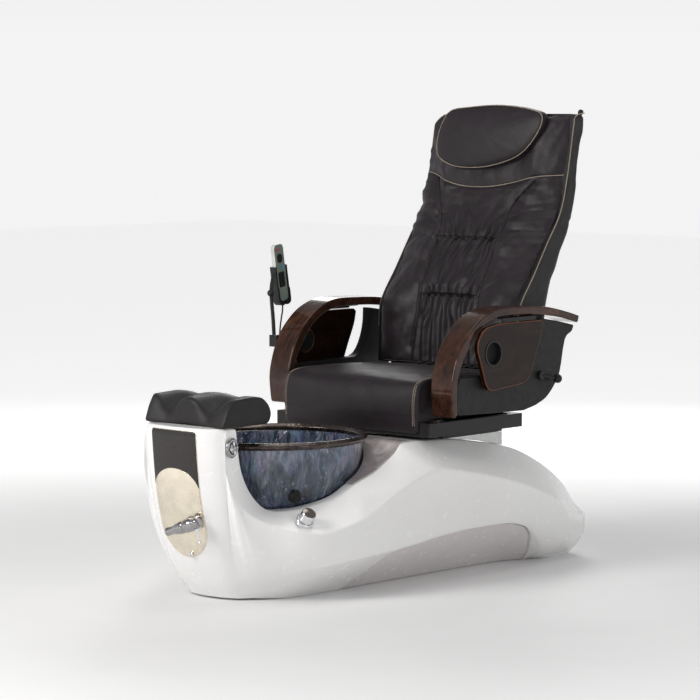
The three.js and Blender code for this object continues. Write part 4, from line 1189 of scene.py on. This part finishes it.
def sewn_back(obj):
    """Presses the seams in and lays the gathers and creases of the leather."""
    points, outward = coordinates(obj), normals(obj)
    mm = points * 1000
    flat = mm[:, [0, 2]]
    front = (outward[:, 1] < -0.2) | (mm[:, 1] < seam_depth(mm[:, 2]) - 2)
    move = np.zeros(len(points))
    left = spline(SEAMS["left"], 60)
    right = spline(SEAMS["right"], 60)
    for line in (left, right):
        d = distance_to_line(flat, line)
        move += -6.0 * np.exp(-(d / 3.8) ** 2) - 6.0 * np.exp(-(d / 22.0) ** 2)
    d = distance_to_line(flat, spline(YOKE, 60))
    move += -3.2 * np.exp(-(d / 4.5) ** 2) - 4.5 * np.exp(-(d / 24.0) ** 2)
    low_x = np.interp(flat[:, 1], left[::-1, 1], left[::-1, 0])
    high_x = np.interp(flat[:, 1], right[::-1, 1], right[::-1, 0])
    width = np.maximum(high_x - low_x, 1)
    u = (flat[:, 0] - low_x) / width
    inside = np.clip(np.minimum(u, 1 - u) / 0.10, 0, 1) * (flat[:, 1] < 1225)
    for index, z0 in enumerate(RUCHES):
        dz = flat[:, 1] - z0
        line_dip = np.exp(-(dz / 4.2) ** 2)
        move += -9.0 * line_dip * inside - 7.0 * np.exp(-(dz / 26.0) ** 2) * inside
        reach = np.where(dz > 0, 62.0 if index == 0 else 88.0, 92.0)
        fade = np.exp(-(np.abs(dz) / reach) ** 1.7) * inside
        spread = 1 + np.abs(dz) / (105.0 if index == 0 else 300.0) * (dz > 0)
        across = (flat[:, 0] + 12) / spread
        drift_at = np.column_stack([flat[:, 0] * 0.6, dz * 0.35, np.full(len(dz), index * 40.0)])
        drift = wave(drift_at, 0.02, 3 + index)
        folds = np.sin(across / 38.0 * 2 * math.pi + drift * 3.2)
        fine = np.sin(across / 15.0 * 2 * math.pi + drift * 4.0 + 1.3)
        sharp = np.sign(folds) * np.abs(folds) ** 0.75
        move += fade * (7.4 * sharp + 4.0 * fine * np.exp(-(np.abs(dz) / 30.0) ** 1.3))
    lower = np.clip((830 - flat[:, 1]) / 60, 0, 1) * inside
    move += lower * 4.0 * np.sin(flat[:, 0] / 42 * 2 * math.pi + 1.5)
    bolster = 1 - inside
    lines = np.column_stack([flat[:, 0] * 0.32, flat[:, 1] * 1.0, mm[:, 1] * 0.2])
    creases = wave(lines, 0.016, 11)
    zone = np.exp(-((flat[:, 1] - 1120) / 130) ** 2) * np.clip((np.abs(flat[:, 0]) - 105) / 40, 0, 1)
    move += bolster * (11.0 * zone * np.abs(creases) + 3.0 * wave(mm, 0.007, 21))
    move += 1.3 * wave(mm, 0.022, 31)
    puff = np.interp(flat[:, 1], LEFT_PUFF[:, 0], np.maximum(LEFT_PUFF[:, 1], 0))
    wide = puff * np.where(flat[:, 0] < 0, 1.0, 0.35)
    fade_edge = np.clip((BACK_HALF + 14 + wide - np.abs(flat[:, 0])) / 26, 0, 1)
    reshape(obj, points + outward * (move * front * fade_edge * MM)[:, None])


sewn_back(back)
tidy(back, True, 0)
place(back, "backrest", "backrest_cushion", slot="leather")


def seam_plane(z, off):
    """Depth in Y of a surface in front of the back's edge seam, in mm; it runs on above the back."""
    return float(seam_depth(min(z, 1476))) + 0.19 * max(0.0, z - 1476) - off


def projected(obj, line, lift=0.0):
    """Drops a line of (x, z) points onto the front of a cushion, along +Y."""
    tree = surface_tree(obj)
    out = []
    for x, z in line:
        start = Vector((x * MM, seam_plane(z, 0) * MM - 0.3, z * MM))
        hit, normal, _, _ = tree.ray_cast(start, Y)
        if hit is not None:
            out.append(hit + normal * lift)
    return out


def settled(points, rounds=3):
    """Evens out the jumps in a projected line."""
    line = np.array([tuple(p) for p in points])
    for _ in range(rounds):
        line[1:-1] = (line[:-2] + 2 * line[1:-1] + line[2:]) / 4
    return [Vector(p) for p in line]


def sewn_on(name, line, radius, material, sides=10):
    """A cord or seam that lies along a line on the back."""
    return place(tube(name, line, radius, material, sides, Y), "backrest", slot="leather")


sewn_on("yoke_piping", settled(projected(back, spline(YOKE, 90), 0.0008)), 0.0017, PIPING)
back_seams = [spline(SEAMS["left"], 80), spline(SEAMS["right"], 80),
              np.linspace((-150, 1067), (112, 1067), 70), np.linspace((-124, 878), (132, 878), 70)]
for index, line in enumerate(back_seams):
    sewn_on(f"back_seam_{index}", settled(projected(back, line)), 0.0014, SEAM, 8)


def tuck(z):
    """How far the right edge of the back is drawn in near its top, in mm."""
    return -min(0.0, float(np.interp(z, LEFT_PUFF[:, 0], LEFT_PUFF[:, 1])))


left_edge = [((BACK_HALF + 4.5) * MM, seam_depth(z) * MM + 0.005, z * MM) for z in np.linspace(760, 1452, 90)]
left_corner = [((BACK_HALF + 4.5 - 6 * t) * MM, (seam_depth(1452) + 5 + 62 * t ** 2.2) * MM,
                (1452 + 28 * math.sin(t * 1.5)) * MM) for t in np.linspace(0.15, 1, 9)]
right_edge = [((-BACK_HALF - 3.5 + tuck(z)) * MM, seam_depth(z) * MM + 0.006, z * MM)
              for z in np.linspace(760, 1474, 96)]
sewn_on("back_piping_1", left_edge + left_corner, 0.0019, PIPING)
sewn_on("back_piping_-1", right_edge, 0.0019, PIPING)

# Cover over the sides and the rear of the back.
REAR = np.array([(575, 640), (596, 690), (621, 851), (639, 913), (683, 1005), (733, 1089), (764, 1183),
                 (783, 1331), (797, 1385), (815, 1432), (814, 1462), (806, 1478)], float)
rear_curve = spline(REAR, 90)
cover_rings = []
for z in [640, *np.linspace(644, 1464, 70), 1471, 1476, 1478]:
    inset = {640: 3, 1471: 2, 1476: 6, 1478: 14}.get(z, 0)
    front_y = float(seam_depth(z)) + 4
    rear_y = float(np.interp(z, rear_curve[:, 1], rear_curve[:, 0])) - inset
    half = BACK_HALF + 2 - inset
    depth = rear_y - front_y
    wall = [(half, front_y + depth * t) for t in np.linspace(0, 0.8, 9)]
    turn_in = [(half - 16 * (1 - math.cos(a)), front_y + depth * 0.8 + depth * 0.2 * math.sin(a))
               for a in np.linspace(0.2, math.pi / 2, 6)]
    across = [(half - 16 - (2 * half - 32) * t, rear_y + 5 * math.sin(math.pi * t) ** 0.6)
              for t in np.linspace(0, 1, 25)][1:-1]
    right_side = [(-x + tuck(z), y) for x, y in reversed(wall + turn_in)]
    ring = wall + turn_in + across + right_side
    cover_rings.append([(x * MM, y * MM, z * MM) for x, y in ring])
cover = lofted("back_cover", cover_rings, GUSSET, 50.0)
points, outward = coordinates(cover), normals(cover)
mm = points * 1000
behind_seam = mm[:, 1] - seam_depth(mm[:, 2])
slack = 1.6 * wave(mm * (0.5, 0.6, 1), 0.011, 41) + 0.7 * wave(mm, 0.03, 43)
middle_seam = 2.6 * np.exp(-(((mm[:, 2] - 1120) / 5) ** 2)) * (behind_seam > 40)
reshape(cover, points + outward * ((slack - middle_seam) * (behind_seam > 12) * MM)[:, None])
tidy(cover, True, 50.0)
place(cover, "backrest", "backrest_shell", slot="leather")
skirt_line = eased([(0.494, 0.602), (0.500, 0.602), (0.508, 0.652), (0.494, 0.652)], 0.002)
skirt = prism("back_skirt", skirt_line, -0.280, 0.284, GUSSET)
place(skirt, "backrest", slot="leather")
toggle_line = eased([(0.0001, -0.012), (0.006, -0.012), (0.009, -0.002), (0.009, 0.004), (0.005, 0.009),
                     (0.0001, 0.009)], 0.002)
toggle = turned("cover_toggle", toggle_line, (0.282, 0.812, 1.483), (0.25, 0.2, 1), GUSSET, 20)
place(toggle, "backrest", slot="leather")


# ------------------------------------------------------------------ head pillow

PILLOW = spline([
    (-205, 1474), (-224, 1422), (-229, 1370), (-216, 1333), (-149, 1303), (-47, 1297), (50, 1311),
    (137, 1343), (187, 1392), (214, 1448), (207, 1476), (155, 1493), (23, 1506), (-110, 1499), (-180, 1490),
    (-205, 1474),
], 120)[:-1]
PILLOW_MIDDLE = np.array([-4.0, 1404.0])


def pillow_ring(scale, off, puff=0.0):
    """The pillow's outline, scaled about its middle, off from the back and puffed out, in mm."""
    reach = PILLOW - PILLOW_MIDDLE
    length = np.linalg.norm(reach, axis=1, keepdims=True)
    grown = PILLOW_MIDDLE + reach * scale + reach / length * puff
    return [(x * MM, seam_plane(z, off) * MM, z * MM) for x, z in grown]


pillow_rings = [
    (0.3, 16), (0.92, 17), (0.985, 21), (1.0, 28, 1.5), (1.0, 38, 2.5), (1.0, 48, 2), (1.0, 54.5, 0.3),
    (1.0, 57, -2.6), (1.0, 60.5, -9), (0.86, 65), (0.7, 69), (0.5, 72.5), (0.3, 74.5), (0.1, 75.5),
]
pillow = lofted("head_pillow_cover", [pillow_ring(*ring) for ring in pillow_rings], LEATHER, 70.0)
points, outward = coordinates(pillow), normals(pillow)
ripple = 0.9 * wave(points * 1000, 0.012, 51) + 0.35 * wave(points * 1000, 0.04, 52)
reshape(pillow, points + outward * (ripple * MM)[:, None])
subdivide(pillow)
place(pillow, "backrest", "head_pillow", slot="leather")
piping_loop = [Vector(p) for p in pillow_ring(1.0, 57, 0.2)]
loop_rings = []
for i, p in enumerate(piping_loop):
    along = (piping_loop[(i + 1) % len(piping_loop)] - piping_loop[i - 1]).normalized()
    side = along.cross(Y).normalized()
    lift = side.cross(along)
    loop_rings.append([p + (side * math.cos(a) + lift * math.sin(a)) * 0.0016 for a in circle(10)])
loop_rings.append(loop_rings[0])
pillow_piping = lofted("pillow_piping", loop_rings, PIPING, 60.0, False)
place(pillow_piping, "backrest", slot="leather")


# ------------------------------------------------------------------ seat cushion

SEAT_HALF = 288.0
SEAT_MIDDLE = np.array([190, 570])
seat_section = resampled(eased([
    (60, 505), (-4, 500), (-20, 470), (-30, 466), (-33, 500), (-35, 585), (-22, 634), (22, 646), (100, 648),
    (260, 646), (440, 636), (448, 560), (440, 512), (60, 505),
], 30, 5), 90)[:-1]
rings = []
for x in [-SEAT_HALF, *np.linspace(-SEAT_HALF + 4, SEAT_HALF - 4, 47), SEAT_HALF]:
    end = 1 - max(0.0, (abs(x) - (SEAT_HALF - 4)) / 4) * 0.02
    section = SEAT_MIDDLE + (seat_section - SEAT_MIDDLE) * end
    rings.append([(x * MM, y * MM, z * MM) for y, z in section])
seat = lofted("seat_cover", rings, LEATHER, 60.0)


def seat_held(p):
    """Where the seat cover is fixed to its pan: its underside, its rear and its two ends."""
    across, y, z = np.abs(p[:, 0]), p[:, 1], p[:, 2]
    underside = (z < 0.513) & (y > 0.0) | (across > 0.27) & (z < 0.52) | (z < 0.475)
    return underside | (y > 0.43) | (across > 0.279)


swollen(seat, seat_held, 0.013, 0.008)
points, outward = coordinates(seat), normals(seat)
mm = points * 1000
end_seam = np.abs(np.abs(mm[:, 0]) - (SEAT_HALF - 13))
front_roll = np.exp(-(((mm[:, 1] + 10) / 60) ** 2))
pleats = wave(mm * (0.9, 0.22, 0.22), 0.016, 61)
creases = wave(mm * (0.25, 0.8, 0.8), 0.014, 67)
move = -2.2 * np.exp(-(end_seam / 3.2) ** 2) + 0.9 * pleats * front_roll
move += 1.6 * np.abs(creases) * (1 - front_roll) + 1.4 * wave(mm, 0.006, 71)
reshape(seat, points + outward * (move * (mm[:, 2] > 530) * MM)[:, None])
tidy(seat, True, 0)
place(seat, "seat", "seat_cushion", slot="leather")


def stitch_line(offset, side):
    """A line over the seat cover, from its foot to its rear, at a distance in mm from its end."""
    line = []
    start = Vector((side * (SEAT_HALF - offset) * MM, 0.190, 0.560))
    for angle in np.linspace(math.radians(207), math.radians(106), 120):
        hit, normal, _, _ = seat_tree.ray_cast(start, Vector((0, math.cos(angle), math.sin(angle))))
        if hit is not None:
            line.append(hit + normal * 0.0001)
    return settled(line)


def stitches(name, line, pitch=0.0068, near=0.0026, far=0.0048):
    """Short threads set along a line, thickest in their middle."""
    run = np.concatenate([[0], np.cumsum([(b - a).length for a, b in zip(line[:-1], line[1:])])])
    points, faces = [], []
    for begin in np.arange(0.002, run[-1] - 0.006, pitch):
        ends = [Vector([np.interp(begin + step, run, [p[k] for p in line]) for k in range(3)])
                for step in (0, near, far)]
        base = len(points)
        along = (ends[2] - ends[0]).normalized()
        up = along.cross(X).normalized()
        for p, r in zip(ends, (0.0008, 0.0011, 0.0008)):
            points += [p + (X * math.cos(a) + up * math.sin(a)) * r for a in circle(6)]
        faces += [tuple(base + i for i in face) for face in strips([range(6)] * 3)]
    return build(name, points, faces, THREAD, True, 0)


seat_tree = surface_tree(seat)
for side in (1, -1):
    for offset in (10, 16):
        thread = stitches(f"seat_stitches_{side}_{offset}", stitch_line(offset, side))
        place(thread, "seat", slot="leather")

floor_corners = [(-20, -20, -0.0005), (20, -20, -0.0005), (20, 20, -0.0005), (-20, 20, -0.0005)]
floor = build("floor", floor_corners, [(0, 1, 2, 3)], FLOOR, False)
